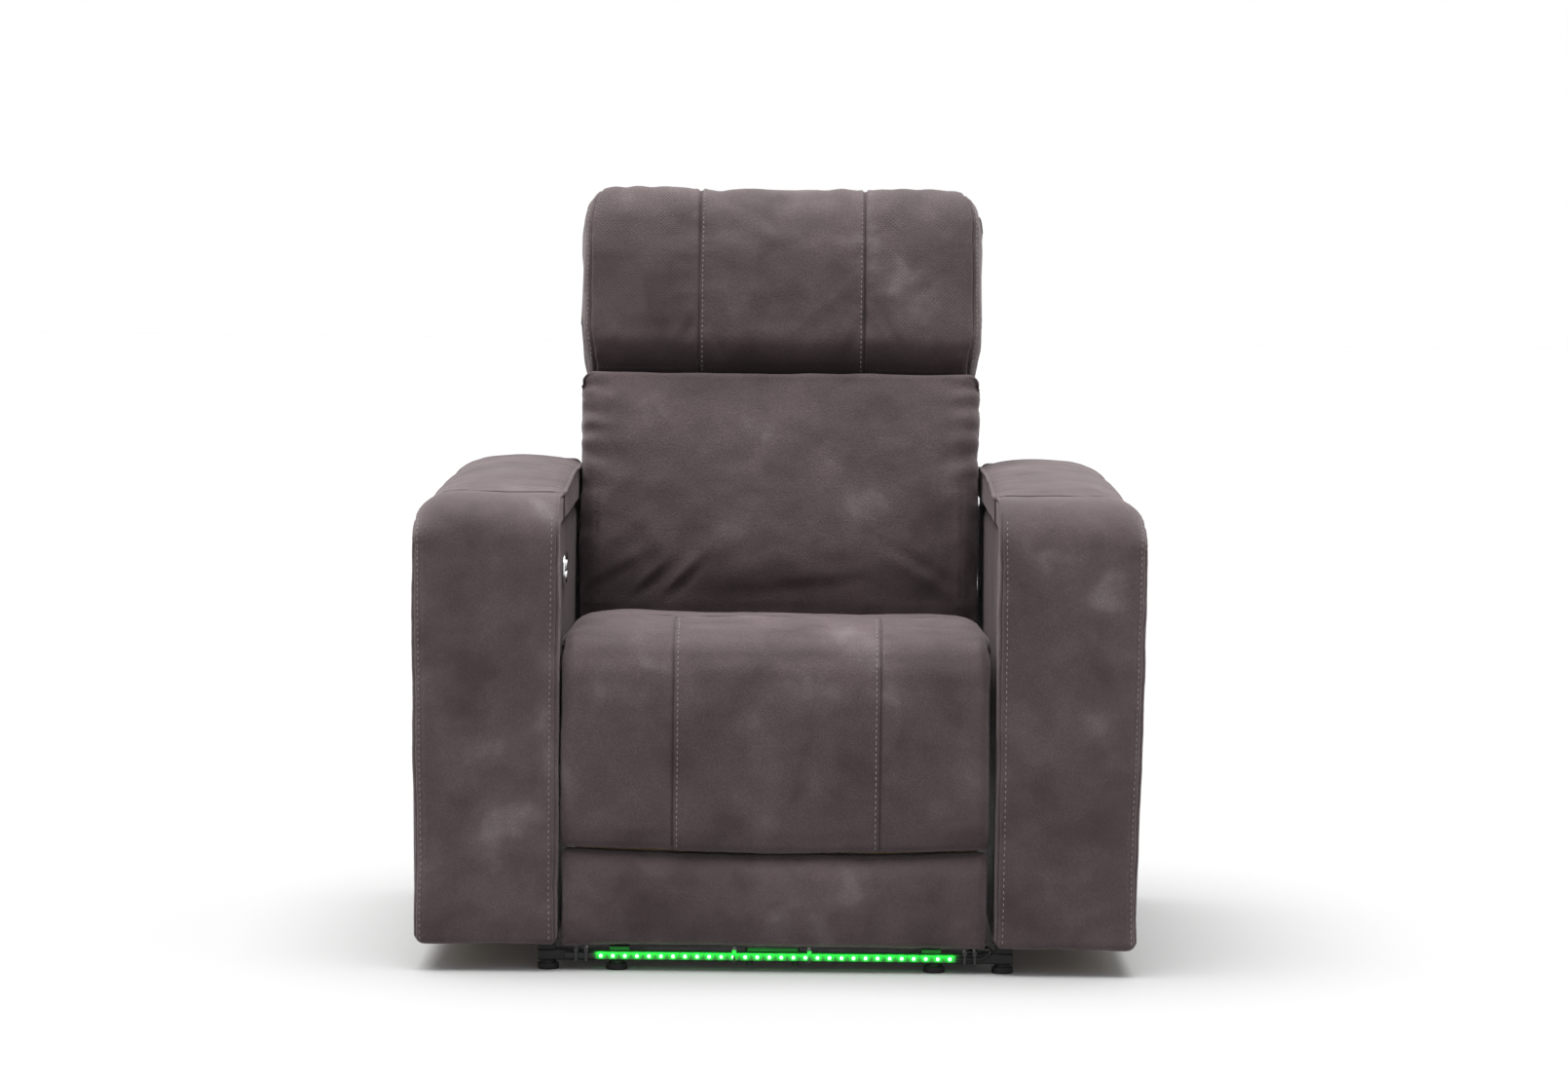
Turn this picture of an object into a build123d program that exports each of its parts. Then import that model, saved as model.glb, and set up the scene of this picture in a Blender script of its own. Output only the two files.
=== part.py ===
from build123d import *
import math
import os

# Power recliner armchair for a home cinema, millimetres, +Z up.
# Origin: on the floor under the middle of the chair. The sitter looks along -Y.
# Heights are Z, "depth" values are measured back from the front of the arms.

os.makedirs("parts", exist_ok=True)

# ---------------------------------------------------------------- dimensions
OVERALL_W = 1010.0
OVERALL_D = 950.0
OVERALL_H = 1089.0

ARM_IN = 303.0          # inner face of each arm
ARM_OUT = 505.0         # outer face of each arm
ARM_D = 880.0           # length of each arm
ARM_Z0 = 38.0           # underside of each arm
ARM_Z1 = 660.0          # top of the arm's front pad
LID_D0, LID_D1 = 132.0, 828.0
LID_Z0, LID_Z1 = 623.5, 676.0
LID_IN = 299.5          # the lid overhangs the arm's inner face
LID_OUT = 497.0
LID_HINGE = (500.0, 620.0)

TUBE_D, TUBE_H, TUBE_Z0 = 30.0, 15.0, 13.5
TUBE_HALF = 329.0
FRONT_TUBE_D0 = 30.0
REAR_TUBE_D0 = 685.0
RAIL_X, RAIL_W, RAIL_Z0, RAIL_Z1 = 216.0, 30.0, 33.5, 58.5
RAIL_D0, RAIL_D1 = 82.0, 715.0

LINK_LOW_Z = 100.0
LINK_LOW_D = (200.0, 500.0)
LINK_DX, LINK_DZ = 55.0, 118.0      # upper pivot from lower pivot, at rest
PIN_R = 6.0
RUN = 0.05                          # radial running clearance
OPEN = 0.3                          # radial clearance at a pivot that closes a loop

FOLD = (45.0, 450.0)                # footrest hinge axis: depth, height
CRANK_V = (47.0, -223.0)            # inner link a, from pivot to knee
OUTER_V = (47.0, -181.0)            # outer link a, from pivot to knee
P_IN = (114.0, 290.0)
P_OUT = (195.0, 250.0)
BACK_PIVOT = (600.0, 300.0)

LEAN = math.radians(15.0)
BACK_ROOT = (560.0, 490.0)          # where the back's front face meets the seat
HEAD_W, HEAD_N = 384.0, 66.0        # headrest pivot, along and behind that face
HEAD_R = 58.0                       # the headrest's round lower edge

LED_COUNT = 30
LED_PITCH = 500.0 / LED_COUNT


def yd(d):
    """Depth behind the front of the arms to the Y coordinate."""
    return d - OVERALL_D / 2


def pt(p):
    return (yd(p[0]), p[1])


def bk(w, n):
    """A point of the back: w up along its face, n behind it, as (Y, Z)."""
    return (
        yd(BACK_ROOT[0] + w * math.sin(LEAN) + n * math.cos(LEAN)),
        BACK_ROOT[1] + w * math.cos(LEAN) - n * math.sin(LEAN),
    )


def plus(a, b):
    return (a[0] + b[0], a[1] + b[1])


K_IN = plus(P_IN, CRANK_V)
K_OUT = plus(P_OUT, OUTER_V)
Q_IN = plus(FOLD, CRANK_V)
Q_OUT = plus(FOLD, OUTER_V)
UP_FRONT = (LINK_LOW_D[0] + LINK_DX, LINK_LOW_Z + LINK_DZ)
UP_REAR = (LINK_LOW_D[1] + LINK_DX, LINK_LOW_Z + LINK_DZ)


def at(x):
    """Section plane across the chair: local x is Y, local y is Z."""
    return Plane.YZ.offset(x)


def facing(d):
    """Upright plane at a depth: local x is X, local y is Z; extrude -L goes back."""
    return Plane.XZ.offset(-yd(d))


# ---------------------------------------------------------------- base frame
with BuildPart() as front_cross_tube:
    with BuildSketch(at(-TUBE_HALF)):
        with Locations((yd(FRONT_TUBE_D0 + TUBE_D / 2), TUBE_Z0 + TUBE_H / 2)):
            RectangleRounded(TUBE_D, TUBE_H, 2.5)
    extrude(amount=2 * TUBE_HALF)
    with BuildSketch(at(-TUBE_HALF + 3)):
        with Locations((yd(FRONT_TUBE_D0 + TUBE_D / 2), TUBE_Z0 + TUBE_H / 2)):
            RectangleRounded(TUBE_D - 4, TUBE_H - 4, 1)
    extrude(amount=2 * TUBE_HALF - 6, mode=Mode.SUBTRACT)
front_cross_tube.part.label = "front_cross_tube"
export_step(front_cross_tube.part, "parts/front_cross_tube.step")

with BuildPart() as rear_cross_tube:
    with BuildSketch(at(-TUBE_HALF)):
        with Locations((yd(REAR_TUBE_D0 + TUBE_D / 2), TUBE_Z0 + TUBE_H / 2)):
            RectangleRounded(TUBE_D, TUBE_H, 2.5)
            RectangleRounded(TUBE_D - 4, TUBE_H - 4, 1, mode=Mode.SUBTRACT)
    extrude(amount=2 * TUBE_HALF)
rear_cross_tube.part.label = "rear_cross_tube"
export_step(rear_cross_tube.part, "parts/rear_cross_tube.step")

# two box tubes run front to back, on shoe plates that lie on the cross tubes
with BuildPart() as base_rails:
    with BuildSketch(facing(RAIL_D0)):
        with Locations((-RAIL_X, (RAIL_Z0 + RAIL_Z1) / 2), (RAIL_X, (RAIL_Z0 + RAIL_Z1) / 2)):
            RectangleRounded(RAIL_W, RAIL_Z1 - RAIL_Z0, 2.5)
            RectangleRounded(RAIL_W - 4, RAIL_Z1 - RAIL_Z0 - 4, 1, mode=Mode.SUBTRACT)
    extrude(amount=-(RAIL_D1 - RAIL_D0))
    with BuildSketch(Plane.XY.offset(TUBE_Z0 + TUBE_H)):
        for x in (-RAIL_X, RAIL_X):
            with Locations((x, yd(81)), (x, yd(677))):
                Rectangle(RAIL_W - 3, 98)
    extrude(amount=RAIL_Z0 - TUBE_Z0 - TUBE_H)
base_rails.part.label = "base_rails"
export_step(base_rails.part, "parts/base_rails.step")

# round levelling feet under both cross tubes
foot_places = [
    (x, yd(d))
    for d in (FRONT_TUBE_D0 + TUBE_D / 2, REAR_TUBE_D0 + TUBE_D / 2)
    for x in (-315.0, -220.0, 220.0, 315.0)
]
with BuildPart() as glide_feet:
    with BuildSketch(Plane.XY):
        with Locations(*foot_places):
            Circle(15)
    extrude(amount=8.5)
    chamfer(glide_feet.edges().group_by(Axis.Z)[0], 1.0)
    with BuildSketch(Plane.XY.offset(8.5)):
        with Locations(*foot_places):
            Circle(11)
    extrude(amount=5)
glide_feet.part.label = "glide_feet"
export_step(glide_feet.part, "parts/glide_feet.step")

# four plates welded on the rails, each with the stud that its link turns on
with BuildPart() as pivot_uprights:
    for d in LINK_LOW_D:
        with BuildSketch(at(212)):
            with BuildLine():
                Polyline(
                    (yd(d - 34), RAIL_Z1), (yd(d + 34), RAIL_Z1), (yd(d + 17.5), 104), (yd(d - 17.5), 104),
                    close=True,
                )
            make_face()
            with Locations((yd(d), LINK_LOW_Z)):
                Circle(18)
        extrude(amount=5)
        with BuildSketch(at(217)):
            with Locations((yd(d), LINK_LOW_Z)):
                Circle(PIN_R)
        extrude(amount=9)
        with BuildSketch(at(224.6)):
            with Locations((yd(d), LINK_LOW_Z)):
                Circle(PIN_R + 2.5)
        extrude(amount=1.4)
    mirror(about=Plane.YZ)
pivot_uprights.part.label = "pivot_uprights"
export_step(pivot_uprights.part, "parts/pivot_uprights.step")

# spacers and cross bars that carry the arms, and the small middle bracket
with BuildPart() as frame_brackets:
    with BuildSketch(Plane.XY.offset(TUBE_Z0 + TUBE_H)):
        for d in (FRONT_TUBE_D0 + TUBE_D / 2, REAR_TUBE_D0 + TUBE_D / 2):
            with Locations((-317, yd(d)), (317, yd(d))):
                Rectangle(23, 26)
    extrude(amount=ARM_Z0 - TUBE_Z0 - TUBE_H)
    with BuildSketch(facing(300)):
        for side in (-1, 1):
            with Locations((side * (RAIL_X + RAIL_W / 2 + 33.5), 33.25)):
                Rectangle(67, 9.5)
            with Locations((side * (RAIL_X + RAIL_W / 2 + 2), 41.5)):
                Rectangle(4, 26)
    extrude(amount=-30)
    with BuildSketch(Plane.XY.offset(TUBE_Z0 + TUBE_H)):
        with Locations((-4, yd(44))):
            RectangleRounded(75, 24, 4)
    extrude(amount=5)
    with BuildSketch(Plane.XY.offset(8)):
        with Locations((-36, yd(45)), (28, yd(45))):
            RectangleRounded(9, 16, 2)
    extrude(amount=TUBE_Z0 - 8)
frame_brackets.part.label = "frame_brackets"
export_step(frame_brackets.part, "parts/frame_brackets.step")

# ---------------------------------------------------------------- lights under the front
LED_X = LED_PITCH * LED_COUNT / 2
with BuildPart() as led_strip:
    with BuildSketch(facing(27)):
        with Locations((0, 21)):
            RectangleRounded(2 * LED_X, 10, 1)
    extrude(amount=-3)
led_strip.part.label = "led_strip"
export_step(led_strip.part, "parts/led_strip.step")

with BuildPart() as led_chips:
    with BuildSketch(facing(25.6)):
        with GridLocations(LED_PITCH, 1, LED_COUNT, 1):
            with Locations((0, 21)):
                RectangleRounded(5, 5, 0.6)
    extrude(amount=-1.4)
led_chips.part.label = "led_chips"
export_step(led_chips.part, "parts/led_chips.step")

# plastic ties that hold the strip and its lead to the tube
TIE_X = (-276.0, -262.0, -57.0, 47.0, 262.0, 276.0)
with BuildPart() as cable_ties:
    for x in TIE_X:
        front = 24.0 if abs(x) < 250 else 24.6
        with BuildSketch(at(x - 1.8)):
            with Locations((yd((front + 63) / 2), TUBE_Z0 + TUBE_H / 2)):
                RectangleRounded(63 - front, TUBE_H + 3.4, 2)
                RectangleRounded(63 - front - 2.4, TUBE_H + 1.0, 1.2, mode=Mode.SUBTRACT)
        extrude(amount=3.6)
        with BuildSketch(facing(22.0)):
            with Locations((x, TUBE_Z0 + TUBE_H + 0.5)):
                RectangleRounded(6.0, 5.0, 1)
        extrude(amount=-(front + 0.8 - 22.0))
cable_ties.part.label = "cable_ties"
export_step(cable_ties.part, "parts/cable_ties.step")

# the strip's lead: out of the strip's right end, over the cross tube's end,
# back along the inner side of the right rail to the power supply
LEAD_R = 2.0
lead_route = [
    (250.0, yd(27.9), 21.0),
    (288.0, yd(27.9), 21.0),
    (300.0, yd(24.0), 33.0),
    (296.0, yd(66.0), 34.5),
    (262.0, yd(84.0), 22.0),
    (222.0, yd(92.0), 20.0),
    (196.0, yd(106.0), 30.0),
    (190.0, yd(150.0), 40.0),
    (191.0, yd(205.0), 41.0),
    (190.0, yd(262.0), 40.0),
    (191.0, yd(320.0), 41.0),
    (190.0, yd(378.0), 40.0),
    (191.0, yd(436.0), 41.0),
    (189.0, yd(494.0), 40.0),
    (180.0, yd(548.0), 38.0),
    (150.0, yd(588.0), 36.0),
    (112.0, yd(606.0), 35.0),
    (72.0, yd(610.0), 34.0),
]
lead_radii = []
for a, b, c in zip(lead_route, lead_route[1:], lead_route[2:]):
    v1, v2 = Vector(*b) - Vector(*a), Vector(*c) - Vector(*b)
    turn = math.radians(v1.get_angle(v2))
    lead_radii.append(round(min(0.45 * min(v1.length, v2.length) / math.tan(turn / 2), 400.0), 2))
print("led lead radii", lead_radii)
with BuildPart() as led_lead:
    with BuildLine():
        lead_path = FilletPolyline(*lead_route, radius=lead_radii)
    with BuildSketch(Plane(origin=lead_path @ 0, z_dir=lead_path % 0)):
        Circle(LEAD_R)
    sweep()
    print("led lead length", round(lead_path.length, 1), "volume ratio",
          round(led_lead.part.volume / (math.pi * LEAD_R**2 * lead_path.length), 4))
    # heat-shrink cap on the strip's other end
    with BuildSketch(at(-292)):
        with Locations((yd(28.0), 21.0)):
            SlotOverall(9.5, 3.6, rotation=90)
    extrude(amount=42)
    fillet(led_lead.edges().group_by(Axis.X)[0], 1.0)
led_lead.part.label = "led_lead"
export_step(led_lead.part, "parts/led_lead.step")

# low-voltage power supply on the rear cross tube, with a two-pole mains inlet
with BuildPart() as power_supply:
    with BuildSketch(Plane.XY.offset(16)):
        with Locations((0, yd(652))):
            RectangleRounded(140, 66, 6)
    extrude(amount=34)
    fillet(power_supply.edges().group_by(Axis.Z)[-1], 3)
    with BuildSketch(at(-70)):
        with Locations((yd(652), 33)):
            SlotOverall(21, 11)
    extrude(amount=14, mode=Mode.SUBTRACT)
    with BuildSketch(at(-70)):
        with Locations((yd(647), 33), (yd(657), 33)):
            Circle(1.6)
    extrude(amount=16)
    with BuildSketch(Plane.XY.offset(40)):
        with Locations((-58, yd(691)), (58, yd(691))):
            Rectangle(14, 28)
    extrude(amount=2)
power_supply.part.label = "power_supply"
export_step(power_supply.part, "parts/power_supply.step")

# ---------------------------------------------------------------- arms
# plywood boards of both arm boxes, with a 0.2 mm glue line between them
GLUE = 0.2
with BuildPart() as arm_frames:
    with BuildSketch(Plane.XY.offset(ARM_Z0)):
        with Locations((401, yd(460))):
            Rectangle(166, 806)
    extrude(amount=15 - GLUE)
    for x in (318.0, 472.0):
        with BuildSketch(at(x)):
            with BuildLine():
                Polyline(pt((57, 53)), pt((863, 53)), pt((863, 617)), pt((57, 617)), close=True)
            make_face()
        extrude(amount=12)
    for d in (57.0, 848.0):
        with BuildSketch(facing(d)):
            with Locations((401, 335)):
                Rectangle(142 - 2 * GLUE, 564)
        extrude(amount=-15)
    mirror(about=Plane.YZ)
    # the inner board on the left is cut for the control box
    with BuildSketch(at(-331)):
        with Locations(pt((178, 547))):
            Rectangle(88, 40)
    extrude(amount=14, mode=Mode.SUBTRACT)
arm_frames.part.label = "arm_frames"
export_step(arm_frames.part, "parts/arm_frames.step")

# moulded storage bin that hangs in each arm under the lid
BIN = (334.0, 469.0, 150.0, 770.0, 440.0, 616.5)
with BuildPart() as storage_bins:
    with BuildSketch(Plane.XY.offset(BIN[4])):
        with Locations(((BIN[0] + BIN[1]) / 2, yd((BIN[2] + BIN[3]) / 2))):
            RectangleRounded(BIN[1] - BIN[0], BIN[3] - BIN[2], 14)
    extrude(amount=BIN[5] - BIN[4])
    with BuildSketch(Plane.XY.offset(BIN[4] + 3)):
        with Locations(((BIN[0] + BIN[1]) / 2, yd((BIN[2] + BIN[3]) / 2))):
            RectangleRounded(BIN[1] - BIN[0] - 6, BIN[3] - BIN[2] - 6, 11)
    extrude(amount=BIN[5] - BIN[4], mode=Mode.SUBTRACT)
    mirror(about=Plane.YZ)
storage_bins.part.label = "storage_bins"
export_step(storage_bins.part, "parts/storage_bins.step")


# padded fascias: up the front, over a round top edge and back to the lid
with BuildPart() as arm_front_pads:
    with BuildSketch(at(ARM_IN - 5)):
        with BuildLine():
            Polyline(
                pt((0, ARM_Z1 - 60)), pt((0, ARM_Z0)), pt((56.5, ARM_Z0)), pt((56.5, 617.5)),
                pt((130, 617.5)), pt((130, ARM_Z1)), pt((60, ARM_Z1)),
            )
            CenterArc(pt((60, ARM_Z1 - 60)), 60, 90, 90)
        make_face()
    extrude(amount=ARM_OUT - ARM_IN + 10)
    with BuildSketch(facing(-5)):
        with BuildLine():
            Polyline(
                (ARM_IN, ARM_Z1 - 11.5), (ARM_IN, ARM_Z0 - 8), (ARM_OUT - 6, ARM_Z0 - 8), (ARM_OUT, ARM_Z0 + 130),
                (ARM_OUT, ARM_Z1 - 45.5),
            )
            CenterArc((ARM_OUT - 46, ARM_Z1 - 45.5), 46, 0, 90)
            Line((ARM_OUT - 46, ARM_Z1 + 0.5), (ARM_IN + 12, ARM_Z1 + 0.5))
            CenterArc((ARM_IN + 12, ARM_Z1 - 11.5), 12, 90, 90)
        make_face()
    extrude(amount=-150, mode=Mode.INTERSECT)
    mirror(about=Plane.YZ)
arm_front_pads.part.label = "arm_front_pads"
export_step(arm_front_pads.part, "parts/arm_front_pads.step")

with BuildPart() as arm_outer_pads:
    with BuildSketch(facing(57.5)):
        with BuildLine():
            Polyline(
                (485, ARM_Z0), (ARM_OUT - 6, ARM_Z0), (ARM_OUT, ARM_Z0 + 130), (ARM_OUT, 596),
                (ARM_OUT - 9, 615.5), (485, 615.5), close=True,
            )
        make_face()
    extrude(amount=-(863 - 57.5))
    mirror(about=Plane.YZ)
arm_outer_pads.part.label = "arm_outer_pads"
export_step(arm_outer_pads.part, "parts/arm_outer_pads.step")

with BuildPart() as arm_inner_pads:
    with BuildSketch(at(ARM_IN)):
        with BuildLine():
            Polyline(pt((57.5, ARM_Z0)), pt((863, ARM_Z0)), pt((863, 621)), pt((131, 621)), pt((131, 616)), pt((57.5, 616)), close=True)
        make_face()
    extrude(amount=14)
    mirror(about=Plane.YZ)
    # the left one is cut for the control box
    with BuildSketch(at(-ARM_IN - 15)):
        with Locations(pt((178, 547))):
            Rectangle(86, 38)
    extrude(amount=16, mode=Mode.SUBTRACT)
arm_inner_pads.part.label = "arm_inner_pads"
export_step(arm_inner_pads.part, "parts/arm_inner_pads.step")

with BuildPart() as arm_rear_pads:
    with BuildSketch(at(ARM_IN - 5)):
        with BuildLine():
            Polyline(
                pt((864, ARM_Z0)), pt((ARM_D, ARM_Z0 + 10)), pt((ARM_D, 640)), pt((866, 672)),
                pt((830, 675)), pt((830, 622)), pt((864, 622)), close=True,
            )
        make_face()
    extrude(amount=ARM_OUT - ARM_IN + 10)
    with BuildSketch(facing(820)):
        with BuildLine():
            Polyline(
                (ARM_IN, 664), (ARM_IN, ARM_Z0 - 8), (ARM_OUT - 6, ARM_Z0 - 8), (ARM_OUT, ARM_Z0 + 130),
                (ARM_OUT, 676 - 46),
            )
            CenterArc((ARM_OUT - 46, 676 - 46), 46, 0, 90)
            Line((ARM_OUT - 46, 676), (ARM_IN + 12, 676))
            CenterArc((ARM_IN + 12, 664), 12, 90, 90)
        make_face()
    extrude(amount=-80, mode=Mode.INTERSECT)
    mirror(about=Plane.YZ)
arm_rear_pads.part.label = "arm_rear_pads"
export_step(arm_rear_pads.part, "parts/arm_rear_pads.step")

# ---------------------------------------------------------------- lids
KNUCKLES = 11
KNUCKLE_L = (LID_D1 - LID_D0 - 40) / KNUCKLES
knuckle_d = [LID_D0 + 20 + i * KNUCKLE_L for i in range(KNUCKLES)]

# fixed leaves with their knuckles and the hinge pins
with BuildPart() as lid_hinges:
    with BuildSketch(facing(knuckle_d[0])):
        with Locations(((470.5 + LID_HINGE[0]) / 2, 617.75)):
            Rectangle(LID_HINGE[0] - 470.5, 1.5)
    extrude(amount=-KNUCKLES * KNUCKLE_L)
    for i, d in enumerate(knuckle_d):
        if i % 2 == 0:
            with BuildSketch(facing(d + 0.2)):
                with Locations(LID_HINGE):
                    Circle(3)
            extrude(amount=-(KNUCKLE_L - 0.4))
        else:
            with BuildSketch(facing(d - 0.2)):
                with Locations(LID_HINGE):
                    Circle(3.6)
            extrude(amount=-(KNUCKLE_L + 0.4), mode=Mode.SUBTRACT)
    with BuildSketch(facing(knuckle_d[0] - 5)):
        with Locations(LID_HINGE):
            Circle(1.5 + RUN)
    extrude(amount=-(KNUCKLES * KNUCKLE_L + 10), mode=Mode.SUBTRACT)
    with BuildSketch(facing(knuckle_d[0])):
        with Locations(LID_HINGE):
            Circle(1.5)
    extrude(amount=-KNUCKLES * KNUCKLE_L)
    mirror(about=Plane.YZ)
lid_hinges.part.label = "lid_hinges"
export_step(lid_hinges.part, "parts/lid_hinges.step")

# moving leaves
with BuildPart() as lid_leaf_right:
    with BuildSketch(facing(knuckle_d[0])):
        with Locations(((470.5 + LID_HINGE[0]) / 2, 622.25)):
            Rectangle(LID_HINGE[0] - 470.5, 1.5)
    extrude(amount=-KNUCKLES * KNUCKLE_L)
    for i, d in enumerate(knuckle_d):
        if i % 2 == 1:
            with BuildSketch(facing(d + 0.2)):
                with Locations(LID_HINGE):
                    Circle(3)
            extrude(amount=-(KNUCKLE_L - 0.4))
        else:
            with BuildSketch(facing(d - 0.2)):
                with Locations(LID_HINGE):
                    Circle(3.6)
            extrude(amount=-(KNUCKLE_L + 0.4), mode=Mode.SUBTRACT)
    with BuildSketch(facing(knuckle_d[0] - 5)):
        with Locations(LID_HINGE):
            Circle(1.5 + RUN)
    extrude(amount=-(KNUCKLES * KNUCKLE_L + 10), mode=Mode.SUBTRACT)
lid_leaf_right.part.label = "lid_leaf_right"
export_step(lid_leaf_right.part, "parts/lid_leaf_right.step")

with BuildPart() as lid_leaf_left:
    mirror(lid_leaf_right.part, about=Plane.YZ)
lid_leaf_left.part.label = "lid_leaf_left"
export_step(lid_leaf_left.part, "parts/lid_leaf_left.step")

with BuildPart() as lid_board_right:
    with BuildSketch(Plane.XY.offset(LID_Z0 - 0.5)):
        with Locations(((312 + 494) / 2, yd((LID_D0 + LID_D1) / 2))):
            RectangleRounded(494 - 312, LID_D1 - LID_D0 - 8, 6)
    extrude(amount=12)
lid_board_right.part.label = "lid_board_right"
export_step(lid_board_right.part, "parts/lid_board_right.step")

with BuildPart() as lid_board_left:
    mirror(lid_board_right.part, about=Plane.YZ)
lid_board_left.part.label = "lid_board_left"
export_step(lid_board_left.part, "parts/lid_board_left.step")

# lid pads: a crowned top, with a band that hangs over the arm's inner face
with BuildPart() as lid_pad_right:
    with BuildSketch(facing(LID_D0)):
        with BuildLine():
            Polyline(
                (LID_IN, 652), (LID_IN, 622), (311, 622), (311, 635.5), (495, 635.5), (495, LID_Z0), (LID_OUT, LID_Z0), (LID_OUT, 634),
            )
            CenterArc((LID_OUT - 38, 634), 38, 0, 90)
            Line((LID_OUT - 38, 672), (LID_IN + 20, 672))
            CenterArc((LID_IN + 20, 652), 20, 90, 90)
        make_face()
    extrude(amount=-(LID_D1 - LID_D0))
    with BuildSketch(at(LID_IN - 5)):
        with BuildLine():
            Polyline(pt((LID_D0 - 3, 657)), pt((LID_D0 - 3, 615)), pt((LID_D1 + 3, 615)), pt((LID_D1 + 3, 667)))
            Spline(pt((LID_D1 + 3, 667)), pt((600, 671)), pt((350, 670)), pt((LID_D0 - 3, 657)))
        make_face()
    extrude(amount=LID_OUT - LID_IN + 10, mode=Mode.INTERSECT)
lid_pad_right.part.label = "lid_pad_right"
export_step(lid_pad_right.part, "parts/lid_pad_right.step")

with BuildPart() as lid_pad_left:
    mirror(lid_pad_right.part, about=Plane.YZ)
lid_pad_left.part.label = "lid_pad_left"
export_step(lid_pad_left.part, "parts/lid_pad_left.step")

# ---------------------------------------------------------------- control on the left arm
CTRL = (178.0, 547.0)
CTRL_FACE = -ARM_IN + 0.2
button_places = [(CTRL[0] + dx, CTRL[1] + dz) for dx, dz in ((-28, 7.5), (-28, -7.5), (-10, 7.5), (-10, -7.5))]

with BuildPart() as control_bezel:
    with BuildSketch(at(CTRL_FACE)):
        with Locations(pt(CTRL)):
            SlotOverall(96, 44)
    extrude(amount=3.4)
    fillet(control_bezel.edges().group_by(Axis.X)[-1], 2.0)
    with BuildSketch(at(CTRL_FACE)):
        with Locations(*[pt(p) for p in button_places]):
            Circle(6.3)
        with Locations(pt((CTRL[0] + 22, CTRL[1]))):
            RectangleRounded(13.4, 6.4, 1)
    extrude(amount=4, mode=Mode.SUBTRACT)
control_bezel.part.label = "control_bezel"
export_step(control_bezel.part, "parts/control_bezel.step")

# the box behind it, and the metal shell of its USB socket
with BuildPart() as control_box:
    with BuildSketch(at(-331)):
        with Locations(pt(CTRL)):
            RectangleRounded(84, 36, 3)
    extrude(amount=331 - 308)
    with BuildSketch(at(-312)):
        with Locations(*[pt(p) for p in button_places]):
            Circle(7.0)
    extrude(amount=5, mode=Mode.SUBTRACT)
    with BuildSketch(at(-316)):
        with Locations(pt((CTRL[0] + 22, CTRL[1]))):
            RectangleRounded(13.2, 6.2, 0.8)
    extrude(amount=14.8)
    with BuildSketch(at(-314)):
        with Locations(pt((CTRL[0] + 22, CTRL[1]))):
            Rectangle(12.0, 4.8)
    extrude(amount=14, mode=Mode.SUBTRACT)
    with BuildSketch(at(-314)):
        with Locations(pt((CTRL[0] + 22, CTRL[1] - 0.9))):
            Rectangle(10.4, 1.6)
    extrude(amount=11.5)
control_box.part.label = "control_box"
export_step(control_box.part, "parts/control_box.step")

STROKE = 1.5


def push_button(place):
    with BuildPart() as b:
        with BuildSketch(at(-309.5)):
            with Locations(pt(place)):
                Circle(4.5)
        extrude(amount=5)
        with BuildSketch(at(-305)):
            with Locations(pt(place)):
                Circle(6.0)
        extrude(amount=7.6)
        fillet(b.edges().group_by(Axis.X)[-1], 1.2)
    return b


button_1 = push_button(button_places[0])
button_1.part.label = "button_1"
export_step(button_1.part, "parts/button_1.step")
button_2 = push_button(button_places[1])
button_2.part.label = "button_2"
export_step(button_2.part, "parts/button_2.step")
button_3 = push_button(button_places[2])
button_3.part.label = "button_3"
export_step(button_3.part, "parts/button_3.step")
button_4 = push_button(button_places[3])
button_4.part.label = "button_4"
export_step(button_4.part, "parts/button_4.step")


# ---------------------------------------------------------------- carriage links
def bar_between(a, b, half):
    """Outline of a link with round ends, in depth and height."""
    dx, dz = b[0] - a[0], b[1] - a[1]
    ln = math.hypot(dx, dz)
    with Locations(Location((yd((a[0] + b[0]) / 2), (a[1] + b[1]) / 2, 0), (0, 0, math.degrees(math.atan2(dz, dx))))):
        SlotCenterToCenter(ln, 2 * half)


with BuildPart() as carriage_links_front:
    with BuildSketch(at(219)):
        bar_between((LINK_LOW_D[0], LINK_LOW_Z), UP_FRONT, 15)
        with Locations(pt((LINK_LOW_D[0], LINK_LOW_Z))):
            Circle(PIN_R + RUN, mode=Mode.SUBTRACT)
        with Locations(pt(UP_FRONT)):
            Circle(PIN_R + OPEN, mode=Mode.SUBTRACT)
    extrude(amount=5)
    mirror(about=Plane.YZ)
carriage_links_front.part.label = "carriage_links_front"
export_step(carriage_links_front.part, "parts/carriage_links_front.step")

with BuildPart() as carriage_links_rear:
    with BuildSketch(at(219)):
        bar_between((LINK_LOW_D[1], LINK_LOW_Z), UP_REAR, 15)
        with Locations(pt((LINK_LOW_D[1], LINK_LOW_Z)), pt(UP_REAR)):
            Circle(PIN_R + RUN, mode=Mode.SUBTRACT)
    extrude(amount=5)
    mirror(about=Plane.YZ)
carriage_links_rear.part.label = "carriage_links_rear"
export_step(carriage_links_rear.part, "parts/carriage_links_rear.step")

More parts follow.
